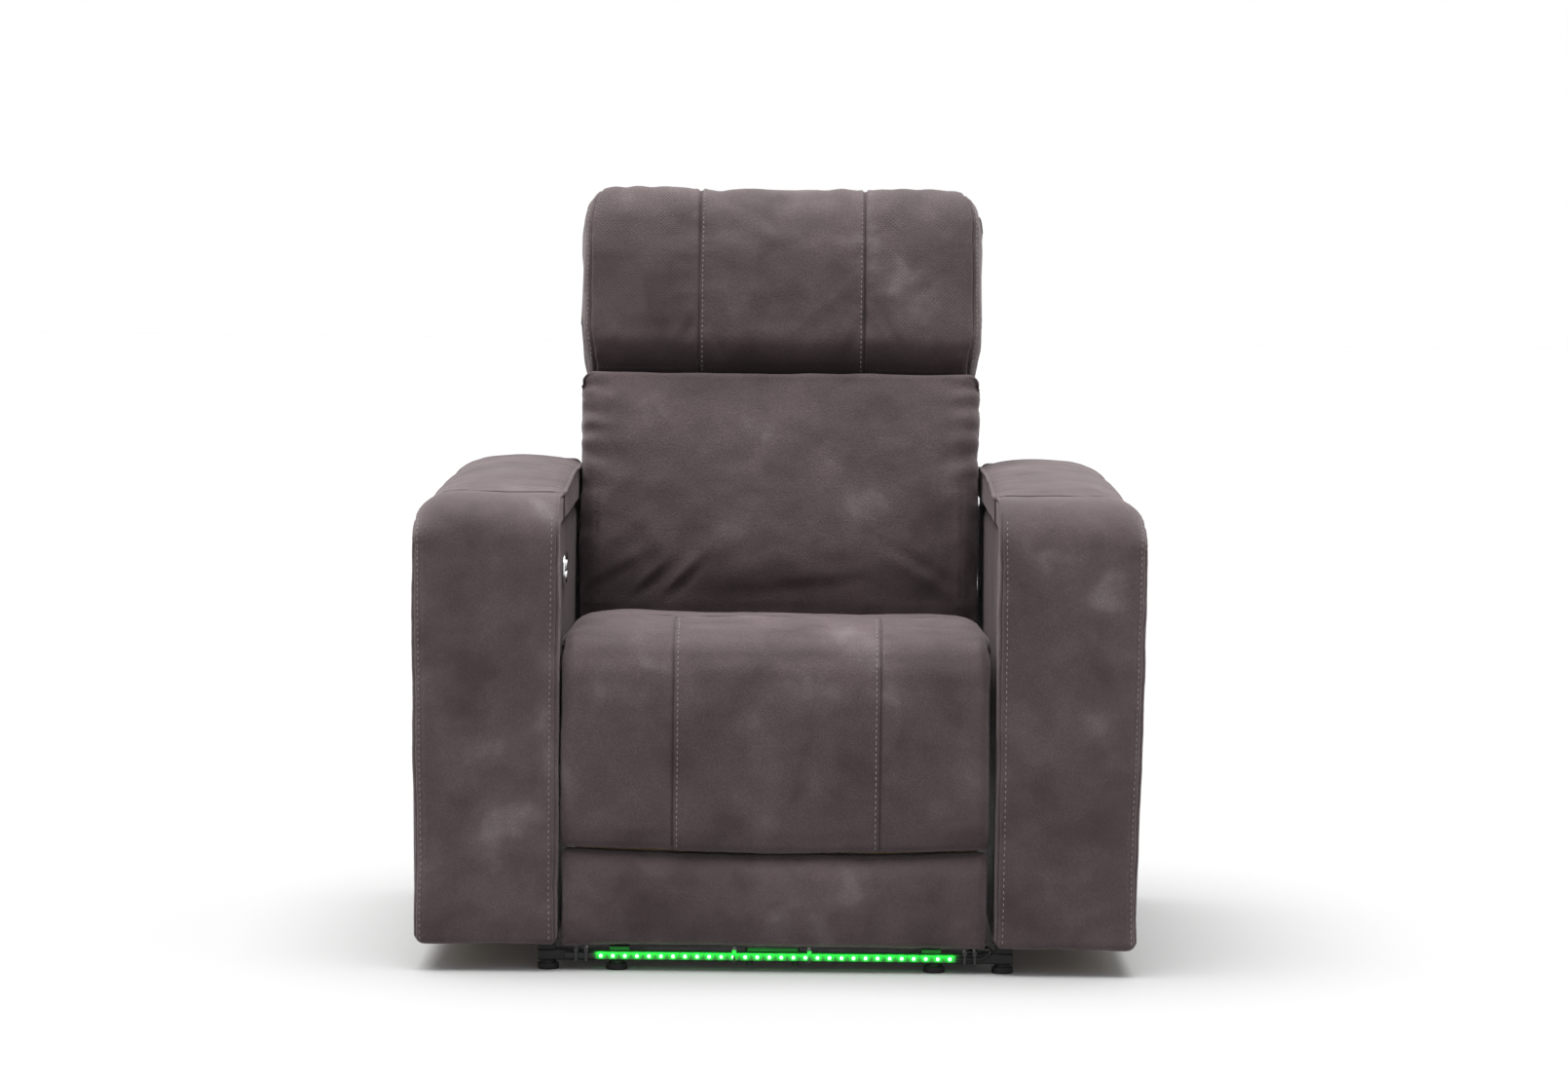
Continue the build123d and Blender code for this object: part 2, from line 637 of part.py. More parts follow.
# ---------------------------------------------------------------- seat
TORQUE_R = 10.0
with BuildPart() as seat_side_plates:
    with BuildSketch(at(226)):
        with BuildLine():
            Polyline(
                pt((92, 320)), pt((92, 274)), pt((140, 262)), pt((178, 232)), pt((236, 199)), pt((276, 199)),
                pt((330, 240)), pt((480, 240)), pt((536, 199)), pt((576, 199)), pt((606, 282)), pt((617, 290)),
                pt((619, 306)), pt((604, 320)), close=True,
            )
        make_face()
        with Locations(pt(P_IN)):
            Circle(TORQUE_R + RUN, mode=Mode.SUBTRACT)
        with Locations(pt(UP_FRONT), pt(UP_REAR), pt(P_OUT), pt(BACK_PIVOT)):
            Circle(PIN_R, mode=Mode.SUBTRACT)
        with Locations(pt((405, 280))):
            SlotOverall(150, 34, mode=Mode.SUBTRACT)
    extrude(amount=5)
    with BuildSketch(Plane.XY.offset(317)):
        with Locations((252, yd(300))):
            Rectangle(52, 400)
    extrude(amount=3)
    mirror(about=Plane.YZ)
seat_side_plates.part.label = "seat_side_plates"
export_step(seat_side_plates.part, "parts/seat_side_plates.step")

# shoulder rivets on the side plates: upper carriage pivots, outer link pivots, back pivots
with BuildPart() as seat_pivots:
    for place, x0, x1, head in (
        (UP_FRONT, 217.4, 231.0, 217.4),
        (UP_REAR, 217.4, 231.0, 217.4),
        (P_OUT, 226.0, 262.6, 261.4),
        (BACK_PIVOT, 226.0, 240.0, 238.6),
    ):
        with BuildSketch(at(x0)):
            with Locations(pt(place)):
                Circle(PIN_R)
        extrude(amount=x1 - x0)
        with BuildSketch(at(head)):
            with Locations(pt(place)):
                Circle(PIN_R + 3)
        extrude(amount=1.2)
        if place == P_OUT:
            with BuildSketch(at(231)):
                with Locations(pt(place)):
                    Circle(PIN_R + 3)
            extrude(amount=25)
    # hinge brackets of the footrest, screwed to the seat box, with their studs
    with BuildSketch(at(285.4)):
        with BuildLine():
            Polyline(
                pt((45, 460)), pt((58, 458)), pt((96, 392)), pt((150, 388)), pt((150, 332)), pt((90, 332)),
                pt((78, 382)), pt((37, 444)), close=True,
            )
        make_face()
        with Locations(pt(FOLD)):
            Circle(10)
    extrude(amount=4)
    with BuildSketch(at(280.2)):
        with Locations(pt(FOLD)):
            Circle(4)
    extrude(amount=5.2)
    mirror(about=Plane.YZ)
seat_pivots.part.label = "seat_pivots"
export_step(seat_pivots.part, "parts/seat_pivots.step")

with BuildPart() as seat_cross_tubes:
    with BuildSketch(at(-226)):
        with Locations(pt((330, 302)), pt((505, 302))):
            Circle(12.5)
            Circle(10.5, mode=Mode.SUBTRACT)
    extrude(amount=452)
seat_cross_tubes.part.label = "seat_cross_tubes"
export_step(seat_cross_tubes.part, "parts/seat_cross_tubes.step")

# plywood seat box
with BuildPart() as seat_box:
    with BuildSketch(Plane.XY.offset(320)):
        with Locations((0, yd((82 + 508) / 2))):
            Rectangle(570, 508 - 82)
            Rectangle(530, 508 - 82 - 40, mode=Mode.SUBTRACT)
    extrude(amount=70)
seat_box.part.label = "seat_box"
export_step(seat_box.part, "parts/seat_box.step")

# five sinuous springs across the box, clipped on its front and rear rails
with BuildPart() as seat_springs:
    with BuildSketch(Plane.XY.offset(390)):
        for x in (-200, -100, 0, 100, 200):
            pts = [(x, yd(86))]
            for i in range(13):
                d = 110 + i * 30.8
                side = 22 if i % 2 else -22
                pts += [(x + side, yd(d - 8)), (x + side, yd(d + 8))]
            pts.append((x, yd(504)))
            with BuildLine():
                FilletPolyline(*pts, radius=6)
            trace(line_width=3.6)
    extrude(amount=3.6)
seat_springs.part.label = "seat_springs"
export_step(seat_springs.part, "parts/seat_springs.step")

SEAT_HALF = 285.0
with BuildPart() as seat_cushion:
    with BuildSketch(at(-SEAT_HALF)):
        with BuildLine():
            Polyline(
                pt((530, 394)), pt((64, 394)), pt((64, 446)), pt((50, 456)), pt((50, 462)),
            )
            Spline(pt((50, 462)), pt((66, 485)), pt((108, 495)), pt((300, 489)), pt((552, 478)))
            Line(pt((552, 478)), pt((530, 394)))
        make_face()
    extrude(amount=2 * SEAT_HALF)
    for side in (-1, 1):
        with BuildSketch(facing(40)):
            with Locations((side * (SEAT_HALF - 2), 430)):
                Rectangle(12, 80)
        extrude(amount=-40, mode=Mode.SUBTRACT)
seat_cushion.part.label = "seat_cushion"
export_step(seat_cushion.part, "parts/seat_cushion.step")

# ---------------------------------------------------------------- actuators
CRANK_R = 60.0
CRANK_HALF = math.radians(44)
CRANK_PIN = (P_IN[0] + CRANK_R * math.sin(CRANK_HALF), P_IN[1] - CRANK_R * math.cos(CRANK_HALF))
CRANK_K = 0.93 * CRANK_R            # slider travel per radian of the footrest
BACK_CRANK_R = 80.0
BACK_HALF = math.radians(17.5)
BACK_PIN = (BACK_PIVOT[0] + BACK_CRANK_R * math.sin(BACK_HALF), BACK_PIVOT[1] - BACK_CRANK_R * math.cos(BACK_HALF))
BACK_K = 0.99 * BACK_CRANK_R
HEAD_CRANK_R = 50.0
HEAD_HALF = math.radians(20)
HEAD_PIN = (HEAD_W - HEAD_CRANK_R * math.sin(HEAD_HALF), HEAD_N + HEAD_CRANK_R * math.cos(HEAD_HALF))
HEAD_K = 0.985 * HEAD_CRANK_R
RAIL_Z = 196.0
RECLINE_X = 120.0
RECLINE_Z = 160.0
RAIL_SEC = (24.0, 16.0)


def actuator(x, z, tip, base, hang):
    """Rail, gearbox and motor in line along the depth, hung from a cross tube."""
    s = 1 if base > tip else -1
    with BuildPart() as a:
        with BuildSketch(facing(tip)):
            with Locations((x, z)):
                RectangleRounded(*RAIL_SEC, 3)
        extrude(amount=-(base - tip))
        with BuildSketch(facing(base)):
            with Locations((x, z)):
                RectangleRounded(46, 44, 8)
        extrude(amount=-58 * s)
        with BuildSketch(facing(base + 58 * s)):
            with Locations((x, z)):
                Circle(17)
        extrude(amount=-52 * s)
        fillet(a.edges().group_by(Axis.Y)[-1 if s > 0 else 0], 4)
        with BuildSketch(at(x - 4)):
            with BuildLine():
                Polyline(
                    pt((base + 10 * s, z + 20)), pt((base + 48 * s, z + 20)), pt((hang[0] + 15 * s, hang[1])),
                    pt((hang[0] - 15 * s, hang[1])), close=True,
                )
            make_face()
            with Locations(pt(hang)):
                Circle(17)
                Circle(12.5, mode=Mode.SUBTRACT)
        extrude(amount=8)
    return a


def slider(x, z, slot, slot_w, slot_h, tail):
    """Nut block on a rail, with a slotted fork standing up from it."""
    lo, hi = (-12, 12 + tail) if tail > 0 else (-12 + tail, 12)
    with BuildPart() as b:
        with BuildSketch(facing(slot[0] + lo)):
            with Locations((x, z)):
                Rectangle(40, 32)
                RectangleRounded(RAIL_SEC[0] + 0.6, RAIL_SEC[1] + 0.6, 3, mode=Mode.SUBTRACT)
        extrude(amount=-(hi - lo))
        with BuildSketch(at(x - 6)):
            with BuildLine():
                Polyline(
                    pt((slot[0] + lo, z + 15)), pt((slot[0] + hi, z + 15)), pt((slot[0] + 13, slot[1] + slot_h / 2 + 6)),
                    pt((slot[0] - 13, slot[1] + slot_h / 2 + 6)), close=True,
                )
            make_face()
            with Locations(pt(slot)):
                SlotOverall(slot_h, slot_w, rotation=90, mode=Mode.SUBTRACT)
        extrude(amount=12)
    return b


footrest_actuator = actuator(0, RAIL_Z, 84, 330, (330, 302))
footrest_actuator.part.label = "footrest_actuator"
export_step(footrest_actuator.part, "parts/footrest_actuator.step")

# the crank's pin dips 17 mm down its slot half way through the travel
footrest_slider = slider(0, RAIL_Z, (P_IN[0] + CRANK_K * CRANK_HALF, CRANK_PIN[1] - 8.4), 13.2, 31.0, 30)
footrest_slider.part.label = "footrest_slider"
export_step(footrest_slider.part, "parts/footrest_slider.step")

recline_actuator = actuator(RECLINE_X, RECLINE_Z, 668, 490, (505, 302))
recline_actuator.part.label = "recline_actuator"
export_step(recline_actuator.part, "parts/recline_actuator.step")

recline_slider = slider(RECLINE_X, RECLINE_Z, (BACK_PIVOT[0] + BACK_K * BACK_HALF, BACK_PIN[1] - 1.8), 10.6, 17.0, 14)
recline_slider.part.label = "recline_slider"
export_step(recline_slider.part, "parts/recline_slider.step")

# ---------------------------------------------------------------- footrest
FOOT_HALF = 279.0
with BuildPart() as footrest_board:
    with BuildSketch(at(-280)):
        with BuildLine():
            Polyline(pt((60.5, 45)), pt((75, 45)), pt((75, 330)), pt((60.5, 330)), close=True)
        make_face()
    extrude(amount=560)
footrest_board.part.label = "footrest_board"
export_step(footrest_board.part, "parts/footrest_board.step")

with BuildPart() as chaise_pad:
    with BuildSketch(at(-FOOT_HALF)):
        with BuildLine():
            Polyline(pt((60, 172)), pt((60, 445)), pt((8, 445)))
            Spline(pt((8, 445)), pt((5, 380)), pt((5, 250)), pt((12, 172)))
            Line(pt((12, 172)), pt((60, 172)))
        make_face()
    extrude(amount=2 * FOOT_HALF)
chaise_pad.part.label = "chaise_pad"
export_step(chaise_pad.part, "parts/chaise_pad.step")

with BuildPart() as foot_pad:
    with BuildSketch(at(-FOOT_HALF)):
        with BuildLine():
            Polyline(pt((60, 170)), pt((60, 35)), pt((16, 35)))
            Spline(pt((16, 35)), pt((8, 70)), pt((7, 130)), pt((14, 170)))
            Line(pt((14, 170)), pt((60, 170)))
        make_face()
    extrude(amount=2 * FOOT_HALF)
foot_pad.part.label = "foot_pad"
export_step(foot_pad.part, "parts/foot_pad.step")

# angle brackets for the links, and the arms that reach up to the fold hinge
with BuildPart() as footrest_brackets:
    with BuildSketch(at(245)):
        with BuildLine():
            Polyline(
                pt((75, 200)), pt((84, 200)), pt((104, 216)), pt((104, 280)), pt((84, 305)), pt((75, 305)),
                close=True,
            )
        make_face()
    extrude(amount=4)
    with BuildSketch(facing(75)):
        with Locations((260, 252.5)):
            Rectangle(30, 105)
    extrude(amount=-3)
    with BuildSketch(at(238.6)):
        with Locations(pt(Q_IN)):
            Circle(5)
    extrude(amount=6.4)
    with BuildSketch(at(249)):
        with Locations(pt(Q_OUT)):
            Circle(5)
    extrude(amount=7.2)
    with BuildSketch(at(255.3)):
        with Locations(pt(Q_OUT)):
            Circle(7.5)
    extrude(amount=1.1)
    with BuildSketch(at(280)):
        with BuildLine():
            Polyline(
                pt((60.5, 296)), pt((75, 296)), pt((75, 335)), pt((54, 451)), pt((38, 444)), pt((60.5, 330)),
                close=True,
            )
        make_face()
        with Locations(pt(FOLD)):
            Circle(9)
            Circle(4 + RUN, mode=Mode.SUBTRACT)
    extrude(amount=4)
    mirror(about=Plane.YZ)
footrest_brackets.part.label = "footrest_brackets"
export_step(footrest_brackets.part, "parts/footrest_brackets.step")

# drive tube across the seat, with the inner links and the crank welded to it
with BuildPart() as drive_tube:
    with BuildSketch(at(-233)):
        with Locations(pt(P_IN)):
            Circle(TORQUE_R)
            Circle(TORQUE_R - 2, mode=Mode.SUBTRACT)
    extrude(amount=466)
    for x in (-13, 9):
        with BuildSketch(at(x)):
            bar_between(P_IN, CRANK_PIN, 13)
            with Locations(pt(P_IN)):
                Circle(TORQUE_R - 1, mode=Mode.SUBTRACT)
        extrude(amount=4)
    with BuildSketch(at(-13)):
        with Locations(pt(CRANK_PIN)):
            Circle(5)
    extrude(amount=26)
    for x in (-237, 233):
        with BuildSketch(at(x)):
            bar_between(P_IN, K_IN, 13)
        extrude(amount=4)
    for x0, x1, r in ((237, 244.6, 5), (243.4, 244.6, 7.5)):
        with BuildSketch(at(x0)):
            with Locations(pt(K_IN)):
                Circle(r)
        extrude(amount=x1 - x0)
        with BuildSketch(at(-x1)):
            with Locations(pt(K_IN)):
                Circle(r)
        extrude(amount=x1 - x0)
drive_tube.part.label = "drive_tube"
export_step(drive_tube.part, "parts/drive_tube.step")

with BuildPart() as inner_links:
    with BuildSketch(at(239)):
        bar_between(K_IN, Q_IN, 11)
        with Locations(pt(K_IN)):
            Circle(5 + RUN, mode=Mode.SUBTRACT)
        with Locations(pt(Q_IN)):
            Circle(5 + OPEN, mode=Mode.SUBTRACT)
    extrude(amount=4)
    mirror(about=Plane.YZ)
inner_links.part.label = "inner_links"
export_step(inner_links.part, "parts/inner_links.step")

with BuildPart() as outer_cranks:
    with BuildSketch(at(257)):
        bar_between(P_OUT, K_OUT, 13)
        with Locations(pt(P_OUT)):
            Circle(PIN_R + RUN, mode=Mode.SUBTRACT)
    extrude(amount=4)
    for x0, x1, r in ((249.6, 257, 5), (249.6, 250.7, 7.5)):
        with BuildSketch(at(x0)):
            with Locations(pt(K_OUT)):
                Circle(r)
        extrude(amount=x1 - x0)
    mirror(about=Plane.YZ)
outer_cranks.part.label = "outer_cranks"
export_step(outer_cranks.part, "parts/outer_cranks.step")

with BuildPart() as outer_links:
    with BuildSketch(at(251)):
        bar_between(K_OUT, Q_OUT, 11)
        with Locations(pt(K_OUT)):
            Circle(5 + RUN, mode=Mode.SUBTRACT)
        with Locations(pt(Q_OUT)):
            Circle(5 + OPEN, mode=Mode.SUBTRACT)
    extrude(amount=4)
    mirror(about=Plane.YZ)
outer_links.part.label = "outer_links"
export_step(outer_links.part, "parts/outer_links.step")


# ---------------------------------------------------------------- back
def along(w):
    """Section plane of the back: local x is X, local y is behind its face."""
    y, z = bk(w, 0)
    return Plane(origin=(0, y, z), x_dir=(1, 0, 0), z_dir=(0, math.sin(LEAN), math.cos(LEAN)))


FRAME_N = 133.5
with BuildPart() as back_frame:
    with BuildSketch(along(-140)):
        with Locations((-248, FRAME_N), (248, FRAME_N)):
            RectangleRounded(20, 25, 2)
            RectangleRounded(16, 21, 1, mode=Mode.SUBTRACT)
    extrude(amount=487)
    for w in (-60, 120, 332):
        with BuildSketch(at(-239)):
            with Locations(bk(w, FRAME_N)):
                Circle(9.5)
                Circle(7.5, mode=Mode.SUBTRACT)
        extrude(amount=478)
    # lower cross tube that the crank hangs from
    with BuildSketch(at(-234)):
        with Locations(pt((640, 345))):
            Circle(11)
            Circle(9, mode=Mode.SUBTRACT)
    extrude(amount=468)
    for x in (-238, 233):                          # side plates
        with BuildSketch(at(x)):
            with BuildLine():
                Polyline(
                    pt((583, 290)), pt((594, 281)), pt((612, 281)), pt((672, 312)), pt((704, 432)), bk(-20, 121),
                    bk(-104, 121), pt((584, 314)), close=True,
                )
            make_face()
            with Locations(pt(BACK_PIVOT)):
                Circle(PIN_R + RUN, mode=Mode.SUBTRACT)
        extrude(amount=5)
    for x in (RECLINE_X - 12, RECLINE_X + 8):      # crank plates
        with BuildSketch(at(x)):
            with BuildLine():
                Polyline(
                    pt((628, 352)), pt((614, 228)), pt((616, 216)), pt((630, 214)), pt((636, 222)), pt((652, 340)),
                    close=True,
                )
            make_face()
            with Locations(pt((640, 345))):
                Circle(13)
                Circle(10, mode=Mode.SUBTRACT)
        extrude(amount=4)
    with BuildSketch(at(RECLINE_X - 12)):
        with Locations(pt(BACK_PIN)):
            Circle(4.5)
    extrude(amount=24)
    for side in (-1, 1):                           # headrest ears with their studs
        with BuildSketch(at(152.5 * side - 2.5)):
            with BuildLine():
                Polyline(
                    bk(375, 60), bk(394, 71), bk(361, 122), bk(348, 140), bk(324, 140), bk(324, 119), bk(330, 112),
                    close=True,
                )
            make_face()
            with Locations(bk(HEAD_W, HEAD_N)):
                Circle(11)
        extrude(amount=5)
        with BuildSketch(at(155 if side > 0 else -161)):
            with Locations(bk(HEAD_W, HEAD_N)):
                Circle(5)
        extrude(amount=6)
back_frame.part.label = "back_frame"
export_step(back_frame.part, "parts/back_frame.step")

BACK_HALF_W = 290.0
with BuildPart() as lumbar_cushion:
    with BuildSketch(at(-BACK_HALF_W)):
        with BuildLine():
            Polyline(bk(298, 0), bk(-100, 0), bk(-100, 118), bk(322, 118), bk(322, 24))
            CenterArc(bk(298, 24), 24, 75, 90)
        make_face()
    extrude(amount=2 * BACK_HALF_W)
lumbar_cushion.part.label = "lumbar_cushion"
export_step(lumbar_cushion.part, "parts/lumbar_cushion.step")

# the outer back: one upright panel that bows a little to the rear
OUTER = [(872, 232), (905, 360), (930, 500), (945, 640), (950, 720), (949, 781)]
with BuildPart() as back_panel:
    with BuildSketch(at(-BACK_HALF_W)):
        with BuildLine():
            Spline(*[pt(p) for p in OUTER])
            Spline(*[pt((d - 13, z)) for d, z in OUTER])
            Line(pt(OUTER[0]), pt((OUTER[0][0] - 13, OUTER[0][1])))
            Line(pt(OUTER[-1]), pt((OUTER[-1][0] - 13, OUTER[-1][1])))
        make_face()
    extrude(amount=2 * BACK_HALF_W)
back_panel.part.label = "back_panel"
export_step(back_panel.part, "parts/back_panel.step")

with BuildPart() as back_side_pads:
    with BuildSketch(at(276)):
        with BuildLine():
            Polyline(
                bk(-100, 122), pt((704, 262)), pt((856, 240)), pt((884, 340)), pt((911, 480)), pt((928, 620)),
                pt((934, 720)), pt((934, 771)), bk(357, 122), close=True,
            )
        make_face()
    extrude(amount=14)
    mirror(about=Plane.YZ)
back_side_pads.part.label = "back_side_pads"
export_step(back_side_pads.part, "parts/back_side_pads.step")

# ---------------------------------------------------------------- headrest
with BuildPart() as headrest_board:
    with BuildSketch(along(400)):
        with Locations((0, 104.5)):
            Rectangle(530, 12)
    extrude(amount=200)
    for x in (-160, 156):                          # hinge brackets
        with BuildSketch(at(x)):
            with BuildLine():
                Polyline(bk(376, 60), bk(392, 60), bk(446, 98.5), bk(404, 98.5), close=True)
            make_face()
            with Locations(bk(HEAD_W, HEAD_N)):
                Circle(10)
                Circle(5 + RUN, mode=Mode.SUBTRACT)
        extrude(amount=4)
    for x in (-14, 10):                            # crank for the actuator
        with BuildSketch(at(x)):
            with BuildLine():
                Polyline(
                    bk(446, 110.5), bk(446, 118), bk(400, 124), bk(362, 121), bk(358, 113), bk(362, 105),
                    bk(399, 103), bk(399.9, 110.5), close=True,
                )
            make_face()
        extrude(amount=4)
    with BuildSketch(at(-14)):
        with Locations(bk(*HEAD_PIN)):
            Circle(4)
    extrude(amount=28)
headrest_board.part.label = "headrest_board"
export_step(headrest_board.part, "parts/headrest_board.step")

HEAD_HALF_W = 296.0
corner_w = HEAD_W - math.sqrt(HEAD_R**2 - (98 - HEAD_N) ** 2)
arc_end = -math.degrees(math.atan2(HEAD_W - corner_w, 98 - HEAD_N))
with BuildPart() as headrest_pad:
    with BuildSketch(at(-HEAD_HALF_W)):
        with BuildLine():
            Spline(
                bk(HEAD_W, HEAD_N - HEAD_R), bk(430, 1), bk(490, -3), bk(550, 0), bk(600, 13), bk(626, 38), bk(636, 72),
                tangents=[(math.sin(LEAN), math.cos(LEAN)), (math.cos(LEAN), -math.sin(LEAN))],
            )
            Polyline(bk(636, 72), bk(636, 98), bk(corner_w, 98))
            # the round lower edge is centred on the pivot, so it turns in place
            CenterArc(bk(HEAD_W, HEAD_N), HEAD_R, arc_end - math.degrees(LEAN), -(180 + arc_end))
        make_face()
    extrude(amount=2 * HEAD_HALF_W)
    for x in (-165, 145):                          # room for ears and brackets
        with BuildSketch(at(x)):
            with BuildLine():
                Polyline(bk(310, 48), bk(448, 48), bk(448, 100), bk(310, 100), close=True)
            make_face()
        extrude(amount=20, mode=Mode.SUBTRACT)
    with BuildSketch(at(-24)):
        with BuildLine():
            Polyline(bk(310, 76), bk(450, 76), bk(450, 100), bk(310, 100), close=True)
        make_face()
    extrude(amount=48, mode=Mode.SUBTRACT)
headrest_pad.part.label = "headrest_pad"
export_step(headrest_pad.part, "parts/headrest_pad.step")

with BuildPart() as headrest_rear_pad:
    with BuildSketch(at(-HEAD_HALF_W)):
        with BuildLine():
            Polyline(bk(636, 98.6), bk(600.2, 98.6), bk(600.2, 111), bk(373, 111), bk(393, 292))
            Spline(
                bk(393, 292), bk(440, 279), bk(493, 256), bk(560, 216), bk(606, 172), bk(630, 131), bk(636, 98.6),
            )
        make_face()
    extrude(amount=2 * HEAD_HALF_W)
    for x0, x1, n1, w1 in ((-170, -140, 145, 400), (140, 170, 145, 400), (-26, 26, 180, 452)):
        with BuildSketch(at(x0)):
            with BuildLine():
                Polyline(bk(340, 100), bk(w1, 100), bk(w1, n1), bk(340, n1), close=True)
            make_face()
        extrude(amount=x1 - x0, mode=Mode.SUBTRACT)
headrest_rear_pad.part.label = "headrest_rear_pad"
export_step(headrest_rear_pad.part, "parts/headrest_rear_pad.step")

# actuator of the headrest, behind the back frame
HRAIL_N = 157.0
with BuildPart() as headrest_actuator:
    with BuildSketch(along(340)):
        with Locations((0, HRAIL_N)):
            RectangleRounded(24, 14, 3)
    extrude(amount=-160)
    with BuildSketch(along(180)):
        with Locations((0, HRAIL_N + 10)):
            RectangleRounded(46, 44, 8)
    extrude(amount=-58)
    with BuildSketch(along(122)):
        with Locations((0, HRAIL_N + 10)):
            Circle(17)
    extrude(amount=-52)
    with BuildSketch(at(-4)):
        with BuildLine():
            Polyline(bk(126, 154), bk(170, 154), bk(170, 146), bk(134, 138), bk(112, 132), bk(106, 138), bk(112, 154), close=True)
        make_face()
        with Locations(bk(120, FRAME_N)):
            Circle(13)
            Circle(9.5, mode=Mode.SUBTRACT)
    extrude(amount=8)
headrest_actuator.part.label = "headrest_actuator"
export_step(headrest_actuator.part, "parts/headrest_actuator.step")

head_slot = (HEAD_W - HEAD_K * HEAD_HALF, HEAD_N + HEAD_CRANK_R * (1 + math.cos(HEAD_HALF)) / 2)
with BuildPart() as headrest_slider:
    with BuildSketch(along(head_slot[0] - 76)):
        with Locations((0, HRAIL_N)):
            Rectangle(38, 26)
            RectangleRounded(24.6, 14.6, 3, mode=Mode.SUBTRACT)
    extrude(amount=52)
    with BuildSketch(at(-6)):
        with BuildLine():
            Polyline(
                bk(head_slot[0] - 26, 169), bk(head_slot[0] - 26, 145), bk(head_slot[0] - 11, 140),
                bk(head_slot[0] - 11, 104), bk(head_slot[0] + 11, 104), bk(head_slot[0] + 11, 150),
                bk(head_slot[0] - 4, 169), close=True,
            )
        make_face()
        with Locations(Location((*bk(*head_slot), 0), (0, 0, -math.degrees(LEAN)))):
            SlotOverall(14.0, 9.2, mode=Mode.SUBTRACT)
    extrude(amount=12)
headrest_slider.part.label = "headrest_slider"
export_step(headrest_slider.part, "parts/headrest_slider.step")
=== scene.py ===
import math

import bpy
import bmesh
import numpy as np
from mathutils import Matrix, Vector


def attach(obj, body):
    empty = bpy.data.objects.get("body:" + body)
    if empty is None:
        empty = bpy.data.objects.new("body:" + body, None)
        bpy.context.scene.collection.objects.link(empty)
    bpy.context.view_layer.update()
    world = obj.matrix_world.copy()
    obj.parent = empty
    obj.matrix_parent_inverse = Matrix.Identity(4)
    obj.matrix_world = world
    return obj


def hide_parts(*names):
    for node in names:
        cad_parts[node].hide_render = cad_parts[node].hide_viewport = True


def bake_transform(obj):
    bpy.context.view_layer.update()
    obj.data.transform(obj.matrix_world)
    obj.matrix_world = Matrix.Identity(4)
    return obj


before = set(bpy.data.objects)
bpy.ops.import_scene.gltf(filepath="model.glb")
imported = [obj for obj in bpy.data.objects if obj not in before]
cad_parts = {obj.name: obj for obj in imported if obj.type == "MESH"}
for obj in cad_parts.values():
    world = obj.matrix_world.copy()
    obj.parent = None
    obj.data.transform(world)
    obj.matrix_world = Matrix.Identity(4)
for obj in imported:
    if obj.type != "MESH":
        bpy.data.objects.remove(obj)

scene = bpy.context.scene
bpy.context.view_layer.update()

# Lengths below are millimetres, and "depth" is measured back from the front of the arms,
# as in the part. Everything is turned into metres in the row frame when a mesh is made.
MM = 0.001
OVERALL_D = 950.0
LEAN = math.radians(15.0)


def yz(d, z):
    return (np.asarray(d, float) - OVERALL_D / 2) * MM, np.asarray(z, float) * MM


def bk(w, n):
    """w up along the back's front face, n behind it, as (depth, height)."""
    w, n = np.asarray(w, float), np.asarray(n, float)
    return (
        560.0 + w * math.sin(LEAN) + n * math.cos(LEAN),
        490.0 + w * math.cos(LEAN) - n * math.sin(LEAN),
    )


def smooth(a, b, x):
    t = np.clip((np.asarray(x, float) - a) / (b - a), 0, 1)
    return t * t * (3 - 2 * t)


# ---------------------------------------------------------------- noise
def _hash(ix, iy, iz, seed):
    h = (ix * 374761393 + iy * 668265263 + iz * 2246822519 + seed * 3266489917) & 0xFFFFFFFF
    h = ((h ^ (h >> 13)) * 1274126177) & 0xFFFFFFFF
    return ((h ^ (h >> 16)) & 0xFFFF) / 32767.5 - 1.0


def noise(p, size, seed):
    """Smooth noise from -1 to 1 at points p (metres), with bumps about size mm apart."""
    q = np.asarray(p, float) / (size * MM) + 1000.0
    i = np.floor(q).astype(np.int64)
    f = q - i
    f = f * f * f * (f * (f * 6 - 15) + 10)
    out = 0.0
    for dx in (0, 1):
        for dy in (0, 1):
            for dz in (0, 1):
                w = (
                    (f[..., 0] if dx else 1 - f[..., 0])
                    * (f[..., 1] if dy else 1 - f[..., 1])
                    * (f[..., 2] if dz else 1 - f[..., 2])
                )
                out = out + w * _hash(i[..., 0] + dx, i[..., 1] + dy, i[..., 2] + dz, seed)
    return out


